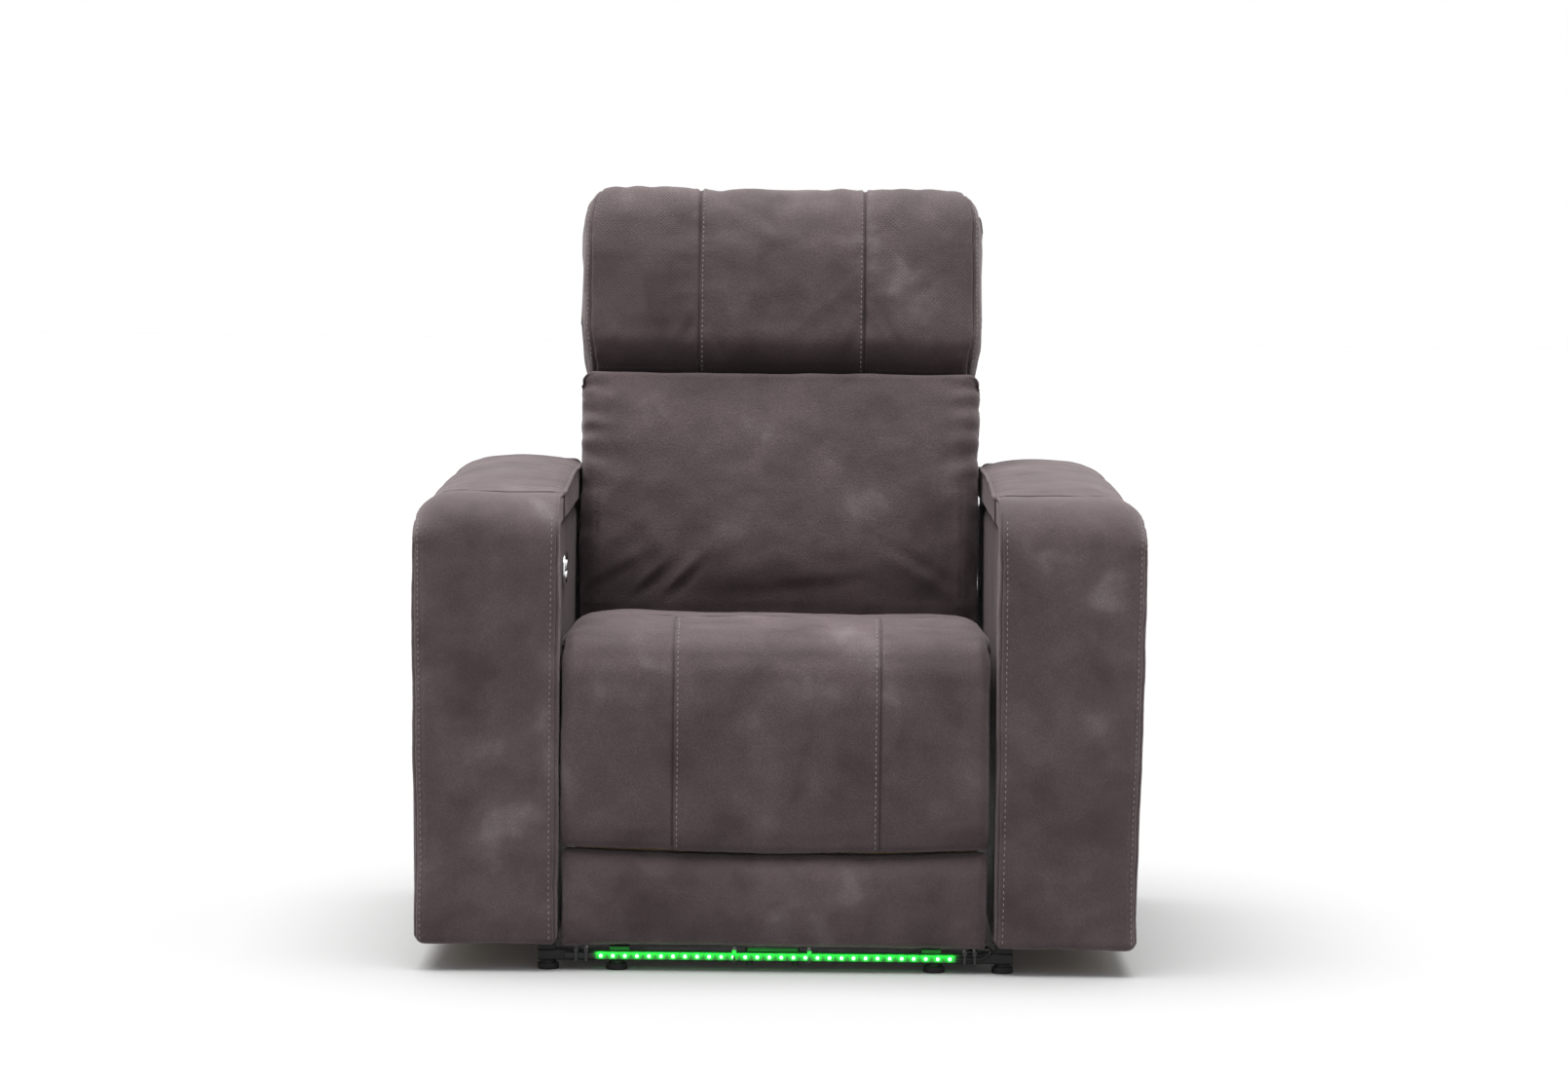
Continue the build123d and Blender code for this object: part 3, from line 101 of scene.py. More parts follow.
# ---------------------------------------------------------------- outlines
def rounded_loop(corners, step=4.0, soften=0.0):
    """Closed outline from (x, y, radius) corners, with points about step apart, running anticlockwise."""
    pts = []
    n = len(corners)
    for i in range(n):
        p0, p1, p2 = (np.array(corners[k % n][:2], float) for k in (i - 1, i, i + 1))
        r = corners[i][2] if len(corners[i]) > 2 else 0
        d1, d2 = p0 - p1, p2 - p1
        l1, l2 = np.hypot(*d1), np.hypot(*d2)
        d1, d2 = d1 / l1, d2 / l2
        ang = math.acos(max(-1, min(1, float(d1 @ d2))))
        if r <= 0 or ang > math.pi - 0.01:
            pts.append(p1)
            continue
        t = min(r / math.tan(ang / 2), 0.49 * l1, 0.49 * l2)
        r = t * math.tan(ang / 2)
        bis = (d1 + d2) / np.hypot(*(d1 + d2))
        c = p1 + bis * (r / math.sin(ang / 2))
        va, vb = p1 + d1 * t - c, p1 + d2 * t - c
        turn = math.atan2(va[0] * vb[1] - va[1] * vb[0], float(va @ vb))
        k = max(4, int(abs(turn) * r / step) + 2)
        for m in range(k + 1):
            a = turn * m / k
            pts.append(c + np.array([va[0] * math.cos(a) - va[1] * math.sin(a), va[0] * math.sin(a) + va[1] * math.cos(a)]))
    out = []
    for a, b in zip(pts, pts[1:] + pts[:1]):
        k = max(1, int(round(np.hypot(*(b - a)) / step)))
        if np.hypot(*(b - a)) > 1e-6:
            out += [a + (b - a) * m / k for m in range(k)]
    loop = np.array(out)
    area = np.sum(loop[:, 0] * np.roll(loop[:, 1], -1) - loop[:, 1] * np.roll(loop[:, 0], -1))
    if area < 0:
        loop = loop[::-1]
    for _ in range(int(soften)):
        loop = 0.5 * loop + 0.25 * (np.roll(loop, 1, 0) + np.roll(loop, -1, 0))
    return loop


def loop_normals(loop):
    t = np.roll(loop, -1, 0) - np.roll(loop, 1, 0)
    n = np.stack([t[:, 1], -t[:, 0]], 1)
    return n / np.maximum(np.hypot(n[:, 0], n[:, 1])[:, None], 1e-9)


def nearest_on(line, pts):
    """Nearest points of a polyline to pts."""
    line = np.asarray(line, float)
    best, out = np.full(len(pts), 1e18), np.zeros_like(pts)
    for a, b in zip(line[:-1], line[1:]):
        ab = b - a
        t = np.clip(((pts - a) @ ab) / max(ab @ ab, 1e-9), 0, 1)
        q = a + t[:, None] * ab
        d = ((pts - q) ** 2).sum(1)
        m = d < best
        best[m], out[m] = d[m], q[m]
    return out


def stations(a0, a1, step, seams=(), fine=(0.7, 1.6, 2.8, 4.6, 7.5, 12.0)):
    base = list(np.linspace(a0, a1, max(2, int(round((a1 - a0) / step)) + 1)))
    for s in seams:
        base = [b for b in base if abs(b - s) > fine[-1] + 1.0 or b in (a0, a1)]
        base += [s] + [s + k * f for f in fine for k in (-1, 1)]
    return np.array(sorted(b for b in base if a0 <= b <= a1))


class Pad:
    """Closed padded form: an outline carried along an axis, with rounded ends and a boxed gusset at each end.
    P is an array of points, stations by outline points."""

    def __init__(self, loop, a0, a1, r0, r1, place, spine, step=6.0, seams=(), bulge=(3.0, 3.0), turns=7, marks=(None, None)):
        n = loop_normals(loop)
        m = len(loop)
        r0 = np.broadcast_to(np.asarray(r0(loop, n) if callable(r0) else r0, float), (m,))
        r1 = np.broadcast_to(np.asarray(r1(loop, n) if callable(r1) else r1, float), (m,))
        A0, A1 = a0 + r0.max() + 0.5, a1 - r1.max() - 0.5
        rows, axis, kind = [], [], []

        def cap(edge, r, sign, b):
            flat = loop - n * r[:, None]
            mid = nearest_on(spine, flat)
            got = []
            for s in (0.92, 0.78, 0.6, 0.4, 0.22, 0.1, 0.04):
                got.append((flat + (mid - flat) * s, np.full(m, edge - sign * b * (1 - (1 - s) ** 3)), 0))
            return got

        def turn(edge, r, sign, mark):
            # a mark is the angle round the edge where a seam runs, which gets closer rows
            got = []
            near = () if mark is None else [mark + q for q in (-0.24, -0.15, -0.09, -0.045, 0.0, 0.045, 0.09, 0.15, 0.24)]
            even = [math.pi / 2 * k / turns for k in range(turns + 1)]
            keep = [q for q in even if mark is None or abs(q - mark) > 0.29 or q in (even[0], even[-1])]
            self.turning = sorted(set(keep) | {q for q in near if 0 < q < math.pi / 2 - 0.02})
            for phi in self.turning:
                got.append((loop - n * (r * (1 - math.sin(phi)))[:, None], edge + sign * r * (1 - math.cos(phi)), 1))
            return got

        parts = cap(a0, r0, 1, bulge[0]) + turn(a0, r0, 1, marks[0])
        self.phi = [9.0] * 7 + list(self.turning)
        for a in stations(A0, A1, step, seams):
            parts.append((loop, np.full(m, a), 2))
            self.phi.append(9.0)
        parts += turn(a1, r1, -1, marks[1])[::-1] + cap(a1, r1, -1, bulge[1])[::-1]
        self.phi = np.array(self.phi + list(self.turning)[::-1] + [9.0] * 7)
        self.Q = np.array([p[0] for p in parts])
        self.A = np.array([p[1] for p in parts])
        self.kind = np.array([p[2] for p in parts])
        self.place = place
        seg = np.hypot(*(np.roll(loop, -1, 0) - loop).T)
        self.S = np.concatenate([[0], np.cumsum(seg)[:-1]])
        self.length = seg.sum()
        self.loop, self.ln = loop, n
        self.P = place(self.A, self.Q[..., 0], self.Q[..., 1])
        self.dark = np.zeros(self.A.shape)
        self.closed = True
        self._orient()

    def _orient(self):
        c = self.P.reshape(-1, 3).mean(0)
        self.flip = 1.0
        nn = self.normals()
        k = self.kind == 2
        self.flip = 1.0 if ((self.P[k] - c) * nn[k]).sum() > 0 else -1.0

    def normals(self):
        di = np.gradient(self.P, axis=0)
        dj = np.roll(self.P, -1, 1) - np.roll(self.P, 1, 1)
        nn = np.cross(di, dj) * self.flip
        return nn / np.maximum(np.linalg.norm(nn, axis=2, keepdims=True), 1e-12)

    def push(self, mm):
        """Moves every point along its normal."""
        self.P = self.P + self.normals() * (np.asarray(mm)[..., None] * MM)
        return self

    def crumple(self, seed, big=1.2, small=0.35):
        p = self.P
        return self.push(big * noise(p, 95, seed) + 0.6 * big * noise(p, 43, seed + 1) + small * noise(p, 19, seed + 2))

    def seam(self, d, depth=2.4, width=2.6, dark=0.85, shoulder=0.7):
        """Sews a seam where d (mm, an array) is 0: a narrow groove with the leather rising beside it."""
        self.push(-depth * np.exp(-((d / width) ** 2)) + shoulder * np.exp(-(((np.abs(d) - 2.4 * width) / (1.3 * width)) ** 2)))
        self.dark = np.maximum(self.dark, dark * np.exp(-((d / (width * 0.62)) ** 2)))
        return self

    def edge_seam(self, marks, radii, where=True, **k):
        """Sews a seam round each rounded end, at its mark."""
        half = len(self.phi) // 2
        d = np.full(self.A.shape, 99.0)
        for i, phi in enumerate(self.phi):
            end = 0 if i < half else 1
            if phi < 9 and marks[end] is not None:
                d[i] = (phi - marks[end]) * np.broadcast_to(radii[end], d[i].shape)
        return self.seam(np.where(where, d, 99.0), **k)

    def edge_row(self, end, phi):
        """The row of a rounded end that is nearest to an angle round it."""
        half = len(self.phi) // 2
        miss = np.abs(self.phi - phi)
        miss[half:] += 0 if end else 99
        miss[:half] += 99 if end else 0
        return int(np.argmin(miss))

    def row_at(self, a, lo=None, hi=None):
        """Points and normals along the outline at axis place a."""
        i = int(np.argmin(np.abs(self.A.mean(1) - a) + (self.kind != 2) * 1e3))
        return self.P[i], self.normals()[i]


def pad_mesh(P, closed=True):
    ni, nj = P.shape[:2]
    v = P.reshape(-1, 3)
    i, j = np.meshgrid(np.arange(ni - 1), np.arange(nj if closed else nj - 1), indexing="ij")
    j2 = (j + 1) % nj
    f = np.stack([i * nj + j, (i + 1) * nj + j, (i + 1) * nj + j2, i * nj + j2], -1).reshape(-1, 4)
    faces = f.tolist()
    if closed:
        faces.append(list(range(nj)))
        faces.append(list(range((ni - 1) * nj, ni * nj))[::-1])
    return v, faces


def make_mesh(name, v, faces, flip=False, shade=True):
    me = bpy.data.meshes.new(name)
    if flip:
        faces = [tuple(reversed(f)) for f in faces]
    me.from_pydata([tuple(map(float, p)) for p in v], [], [tuple(map(int, f)) for f in faces])
    me.validate()
    me.update()
    me.polygons.foreach_set("use_smooth", np.full(len(me.polygons), shade))
    ob = bpy.data.objects.new(name, me)
    scene.collection.objects.link(ob)
    return ob


def outward(ob):
    """Turns a closed mesh's faces outward."""
    me = ob.data
    co = np.empty(len(me.vertices) * 3)
    me.vertices.foreach_get("co", co)
    co = co.reshape(-1, 3)
    me.calc_loop_triangles()
    t = np.empty(len(me.loop_triangles) * 3, int)
    me.loop_triangles.foreach_get("vertices", t)
    t = t.reshape(-1, 3)
    vol = np.einsum("ij,ij->i", co[t[:, 0]], np.cross(co[t[:, 1]], co[t[:, 2]])).sum()
    if vol < 0:
        me.flip_normals()
    return ob


def attribute(ob, name, values, kind="FLOAT"):
    a = ob.data.attributes.get(name) or ob.data.attributes.new(name, kind, "POINT")
    values = np.ascontiguousarray(values, dtype=np.float32)
    a.data.foreach_set("vector" if kind == "FLOAT_VECTOR" else "value", values.ravel())


def rest(ob, shift=(0, 0, 0)):
    """Keeps the rest place of each point, which the leather's pattern is tied to."""
    co = np.empty(len(ob.data.vertices) * 3)
    ob.data.vertices.foreach_get("co", co)
    attribute(ob, "rest", co.reshape(-1, 3) + np.array(shift), "FLOAT_VECTOR")
    return ob


def crisp(ob, degrees=68.0):
    """Marks the edges where the surface turns back on itself, so that the shading doesn't run over them."""
    bm = bmesh.new()
    bm.from_mesh(ob.data)
    for e in bm.edges:
        if len(e.link_faces) == 2 and e.calc_face_angle(0.0) > math.radians(degrees):
            e.smooth = False
    bm.to_mesh(ob.data)
    bm.free()
    return ob


def finish_pad(name, pad, mat, body, nodes=(), blend=None, shift=(0, 0, 0)):
    v, faces = pad_mesh(pad.P)
    ob = crisp(outward(make_mesh(name, v, faces)))
    # pad.dark goes into the seam attribute: dark seams and, where set, painted shade
    attribute(ob, "seam", pad.dark.reshape(-1))
    uv = np.stack([pad.A, np.broadcast_to(pad.S, pad.A.shape), np.zeros_like(pad.A)], -1) * MM
    attribute(ob, "panel", uv.reshape(-1, 3), "FLOAT_VECTOR")
    rest(ob, shift)
    ob.data.materials.append(mat)
    if nodes:
        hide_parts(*nodes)
    if blend:
        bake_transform(ob)
    else:
        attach(ob, body)
    return ob


# ---------------------------------------------------------------- cloth
def puff(pad, hold, target, cap, pressure=4.0, k=2, frames=20, shrink=-0.02):
    """Fills the cover with air in a cloth simulation: hold is 1 where it is sewn or backed, 0 where it is free.
    The result is applied to the points, with the general swelling brought to target mm and no point moved over cap mm."""
    P = pad.P
    ni, nj = P.shape[:2]
    ii = np.unique(np.concatenate([np.arange(0, ni, k), [ni - 1]]))
    jj = np.arange(0, nj, k)
    C = P[np.ix_(ii, jj)]
    v, faces = pad_mesh(C)
    ob = outward(make_mesh("cloth_try", v, faces))
    g = ob.vertex_groups.new(name="hold")
    h = np.clip(hold[np.ix_(ii, jj)].reshape(-1), 0, 1)
    for val in np.unique(np.round(h, 1)):
        if val > 0:
            g.add([int(q) for q in np.where(np.round(h, 1) == val)[0]], float(val), "REPLACE")
    mod = ob.modifiers.new("cloth", "CLOTH")
    s = mod.settings
    s.quality = 5
    s.mass = 0.35
    s.tension_stiffness = s.compression_stiffness = 18
    s.shear_stiffness = 8
    s.bending_stiffness = 2.5
    s.vertex_group_mass = "hold"
    s.pin_stiffness = 4
    s.use_pressure = True
    s.uniform_pressure_force = pressure
    s.shrink_min = shrink
    s.effector_weights.gravity = 0
    mod.collision_settings.use_collision = False
    for f in range(1, frames + 1):
        scene.frame_set(f)
    ev = ob.evaluated_get(bpy.context.evaluated_depsgraph_get())
    co = np.empty(len(ev.data.vertices) * 3)
    ev.data.vertices.foreach_get("co", co)
    move = co.reshape(C.shape) - C
    bpy.data.objects.remove(ob)
    scene.frame_set(1)
    size = np.linalg.norm(move, axis=2, keepdims=True)
    big = np.percentile(size, 92)
    if not np.isfinite(big) or big < 1e-6:
        return pad
    move = move * (target * MM / big)
    size = np.linalg.norm(move, axis=2, keepdims=True)
    move = move * np.minimum(1.0, cap * MM / np.maximum(size, 1e-9))
    # back onto the full grid
    fi = np.interp(np.arange(ni), ii, np.arange(len(ii)))
    i0 = np.minimum(fi.astype(int), len(ii) - 2)
    ti = (fi - i0)[:, None, None]
    rows = move[i0] * (1 - ti) + move[i0 + 1] * ti
    fj = np.arange(nj) / k
    j0 = fj.astype(int)
    tj = (fj - j0)[None, :, None]
    nxt = (j0 + 1) % len(jj)
    pad.P = P + rows[:, j0] * (1 - tj) + rows[:, nxt] * tj
    return pad


# ---------------------------------------------------------------- slabs: side panels and covers
def slab(name, edge_a, edge_b, x_in, x_out, r, mat, body, nodes=(), nu=60, nv=90, bulge=2.0, seams_u=(), seed=1,
         inner_r=2.0, limit=None, extra=None, crumple=1.0, lift=None):
    """Thin upholstered panel between two curves in the depth-height plane. It runs in X from x_in, the hidden side, to
    x_out, the side that shows, and its show side's edges are rounded by r."""
    su = np.unique(np.concatenate([
        [0.0], (1 - np.cos(np.linspace(0, math.pi / 2, 6))) * 0.03, np.linspace(0.03, 0.97, nu),
        1 - (1 - np.cos(np.linspace(0, math.pi / 2, 6))) * 0.03, [1.0],
        *[[s + k * f for f in (0, 0.002, 0.004, 0.007, 0.012) for k in (-1, 1)] for s in seams_u],
    ]))
    sv = np.unique(np.concatenate([
        (1 - np.cos(np.linspace(0, math.pi / 2, 6))) * 0.025, np.linspace(0.025, 0.975, nv),
        1 - (1 - np.cos(np.linspace(0, math.pi / 2, 6))) * 0.025,
    ]))
    a, b = np.array([edge_a(t) for t in sv]), np.array([edge_b(t) for t in sv])
    U, V = np.meshgrid(su, sv, indexing="ij")
    pts = a[None] * (1 - U[..., None]) + b[None] * U[..., None]
    # distance in mm to the border
    width = np.linalg.norm(b - a, axis=1)[None, :] * np.ones_like(U)
    height = np.concatenate([[0], np.cumsum(np.linalg.norm(np.diff((a + b) / 2, axis=0), axis=1))])
    du = np.minimum(U, 1 - U) * width
    dv = np.minimum(height, height[-1] - height)[None, :] * np.ones_like(U)

    def rise(d, rr):
        q = np.clip(d / rr, 0, 1)
        return np.sqrt(np.clip(1 - (1 - q) ** 2, 0, 1))

    show = np.minimum(rise(du, r) , 1) * rise(dv, r)
    hide = rise(du, inner_r) * rise(dv, inner_r)
    mid = x_in + (x_out - x_in) * 0.45
    soft = (1 - np.abs(2 * U - 1) ** 3) * (1 - np.abs(2 * V - 1) ** 3)
    sgn = 1.0 if abs(x_out) >= abs(x_in) else -1.0
    side = 1.0 if x_out > x_in else -1.0
    X1 = mid + (x_out - mid) * show + side * bulge * soft
    X0 = mid + (x_in - mid) * hide
    Y, Z = yz(pts[..., 0], pts[..., 1])
    F = np.stack([X1 * MM, Y, Z], -1)
    wob = crumple * (1.1 * noise(F, 90, seed) + 0.6 * noise(F, 40, seed + 1) + 0.3 * noise(F, 18, seed + 2)) * show * soft ** 0.3
    X1 = X1 + side * wob
    dark = np.zeros_like(U)
    for s in seams_u:
        d = np.abs(U - s) * width
        X1 = X1 - side * 1.8 * np.exp(-((d / 2.2) ** 2))
        dark = np.maximum(dark, 0.8 * np.exp(-((d / 1.6) ** 2)))
    if extra is not None:
        X1 = X1 + side * extra(pts[..., 0], pts[..., 1])
    if limit is not None:
        X1 = np.minimum(X1, limit) if side > 0 else np.maximum(X1, limit)
    ni, nj = U.shape
    front = np.stack([X1 * MM, Y, Z], -1)
    backs = np.stack([X0 * MM, Y, Z], -1)
    v = np.concatenate([front.reshape(-1, 3), backs.reshape(-1, 3)])
    idx = np.arange(ni * nj).reshape(ni, nj)
    q = np.stack([idx[:-1, :-1], idx[1:, :-1], idx[1:, 1:], idx[:-1, 1:]], -1).reshape(-1, 4)
    faces = q.tolist() + (q[:, ::-1] + ni * nj).tolist()
    ring = list(idx[:, 0]) + list(idx[-1, 1:]) + list(idx[-2::-1, -1]) + list(idx[0, -2:0:-1])
    for p, n in zip(ring, ring[1:] + ring[:1]):
        faces.append([int(n), int(p), int(p + ni * nj), int(n + ni * nj)])
    ob = outward(make_mesh(name, v, faces))
    attribute(ob, "seam", np.concatenate([dark.reshape(-1), dark.reshape(-1) * 0]))
    attribute(ob, "panel", np.concatenate([np.stack([U, V, U * 0], -1).reshape(-1, 3)] * 2), "FLOAT_VECTOR")
    rest(ob)
    ob.data.materials.append(mat)
    if nodes:
        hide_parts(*nodes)
    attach(ob, body)
    ob["grid"] = [ni, nj]
    return ob, front


# ---------------------------------------------------------------- sewing
def resample(pts, nrm, pitch):
    seg = np.linalg.norm(np.diff(pts, axis=0), axis=1)
    s = np.concatenate([[0], np.cumsum(seg)])
    k = max(2, int(s[-1] / pitch))
    t = (np.arange(k) + 0.5) * s[-1] / k
    P = np.stack([np.interp(t, s, pts[:, c]) for c in range(3)], 1)
    N = np.stack([np.interp(t, s, nrm[:, c]) for c in range(3)], 1)
    T = np.stack([np.interp(t + 1e-3, s, pts[:, c]) - np.interp(t - 1e-3, s, pts[:, c]) for c in range(3)], 1)
    T /= np.maximum(np.linalg.norm(T, axis=1, keepdims=True), 1e-12)
    N /= np.maximum(np.linalg.norm(N, axis=1, keepdims=True), 1e-12)
    return P, N, T


def stitches(name, lines, mat, body, blend=None, pitch=8.2, length=5.4, thick=0.62, seed=5, sink=0.12):
    """Thread stitches along lines of (points, normals), each a small bent pill that dips into the leather at its ends."""
    rng = np.random.default_rng(seed)
    nr, ns = 6, 6
    V, F = [], []
    base = 0
    for pts, nrm in lines:
        P, N, T = resample(np.asarray(pts), np.asarray(nrm), pitch * MM)
        for p, n, t in zip(P, N, T):
            b = np.cross(n, t)
            b /= max(np.linalg.norm(b), 1e-9)
            yaw = rng.normal(0, 0.05)
            t2 = t * math.cos(yaw) + b * math.sin(yaw)
            b2 = np.cross(n, t2)
            half = length * 0.5 * MM * rng.uniform(0.93, 1.05)
            for i in range(nr):
                u = -1 + 2 * i / (nr - 1)
                rad = thick * MM * math.sqrt(max(0.0, 1 - 0.93 * abs(u) ** 3))
                up = (thick * 0.9 - sink - (thick + 0.5) * abs(u) ** 4) * MM
                c = p + t2 * (u * half) + n * up
                for j in range(ns):
                    a = 2 * math.pi * j / ns
                    V.append(c + (b2 * math.cos(a) + n * math.sin(a) * 0.8) * rad)
            for i in range(nr - 1):
                for j in range(ns):
                    q = base + i * ns + j
                    q2 = base + i * ns + (j + 1) % ns
                    F.append((q, q2, q2 + ns, q + ns))
            F.append(tuple(base + j for j in range(ns))[::-1])
            F.append(tuple(base + (nr - 1) * ns + j for j in range(ns)))
            base += nr * ns
    ob = make_mesh(name, V, F)
    rest(ob)
    ob.data.materials.append(mat)
    if blend:
        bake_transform(ob)
    else:
        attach(ob, body)
    return ob


def welt(name, pts, radius, mat, body, seed=3, sides=10, taper=(0, 0), seam_side=None, blend=None):
    """Leather-covered piping cord along points, slightly uneven, as a closed tube."""
    pts = np.asarray(pts, float)
    seg = np.linalg.norm(np.diff(pts, axis=0), axis=1)
    s = np.concatenate([[0], np.cumsum(seg)])
    k = max(6, int(s[-1] / (4.0 * MM)))
    t = np.linspace(0, s[-1], k)
    C = np.stack([np.interp(t, s, pts[:, c]) for c in range(3)], 1)
    for _ in range(3):
        C[1:-1] = 0.5 * C[1:-1] + 0.25 * (C[:-2] + C[2:])
    T = np.gradient(C, axis=0)
    T /= np.linalg.norm(T, axis=1, keepdims=True)
    ref = np.array([0.0, 0.0, 1.0]) if abs(T[0][2]) < 0.9 else np.array([0.0, 1.0, 0.0])
    N = np.zeros_like(C)
    n = ref - T[0] * (ref @ T[0])
    n /= np.linalg.norm(n)
    V = []
    for i in range(k):
        n = n - T[i] * (n @ T[i])
        n /= np.linalg.norm(n)
        b = np.cross(T[i], n)
        r = radius * MM * (1 + 0.05 * float(noise(C[i][None], 11, seed)[0]))
        if taper[0]:
            r *= max(0.12, min(1.0, (t[i] / MM + 1) / taper[0]))
        if taper[1]:
            r *= max(0.12, min(1.0, ((s[-1] - t[i]) / MM + 1) / taper[1]))
        for j in range(sides):
            a = 2 * math.pi * j / sides
            V.append(C[i] + (n * math.cos(a) + b * math.sin(a)) * r)
    F = []
    for i in range(k - 1):
        for j in range(sides):
            q, q2 = i * sides + j, i * sides + (j + 1) % sides
            F.append((q, q2, q2 + sides, q + sides))
    F.append(tuple(range(sides))[::-1])
    F.append(tuple((k - 1) * sides + j for j in range(sides)))
    ob = outward(make_mesh(name, V, F))
    rest(ob)
    attribute(ob, "seam", np.zeros(len(V)))
    ob.data.materials.append(mat)
    if blend:
        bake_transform(ob)
    else:
        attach(ob, body)
    return ob


# ---------------------------------------------------------------- materials
def material(name, **k):
    m = bpy.data.materials.new(name)
    m.use_nodes = True
    b = m.node_tree.nodes["Principled BSDF"]
    for key, value in k.items():
        b.inputs[key.replace("_", " ").title() if key not in ("IOR",) else key].default_value = value
    return m, m.node_tree, b


def node(t, kind, **k):
    n = t.nodes.new(kind)
    for key, value in k.items():
        if key in n.inputs:
            n.inputs[key].default_value = value
        else:
            setattr(n, key, value)
    return n


def ramp(t, source, stops, interpolation="EASE"):
    r = t.nodes.new("ShaderNodeValToRGB")
    r.color_ramp.interpolation = interpolation
    e = r.color_ramp.elements
    while len(e) < len(stops):
        e.new(0.5)
    for el, (pos, col) in zip(e, stops):
        el.position = pos
        el.color = (*col, 1) if len(col) == 3 else col
    t.links.new(source, r.inputs["Fac"])
    return r.outputs["Color"]


def maths(t, op, a, b=None, clamp=False):
    n = t.nodes.new("ShaderNodeMath")
    n.operation = op
    n.use_clamp = clamp
    for i, v in enumerate((a, b)):
        if v is None:
            continue
        if isinstance(v, (int, float)):
            n.inputs[i].default_value = v
        else:
            t.links.new(v, n.inputs[i])
    return n.outputs[0]


def mix_rgb(t, kind, fac, a, b):
    n = t.nodes.new("ShaderNodeMix")
    n.data_type = "RGBA"
    n.blend_type = kind
    for sock, v in ((n.inputs["Factor"], fac), (n.inputs["A"], a), (n.inputs["B"], b)):
        if isinstance(v, (int, float)):
            sock.default_value = v
        elif isinstance(v, tuple):
            sock.default_value = (*v, 1)
        else:
            t.links.new(v, sock)
    return n.outputs["Result"]


def noise_tex(t, vec, scale, detail=2.0, rough=0.5, distortion=0.0):
    n = node(t, "ShaderNodeTexNoise", Scale=scale, Detail=detail, Roughness=rough, Distortion=distortion)
    t.links.new(vec, n.inputs["Vector"])
    return n.outputs["Fac"]


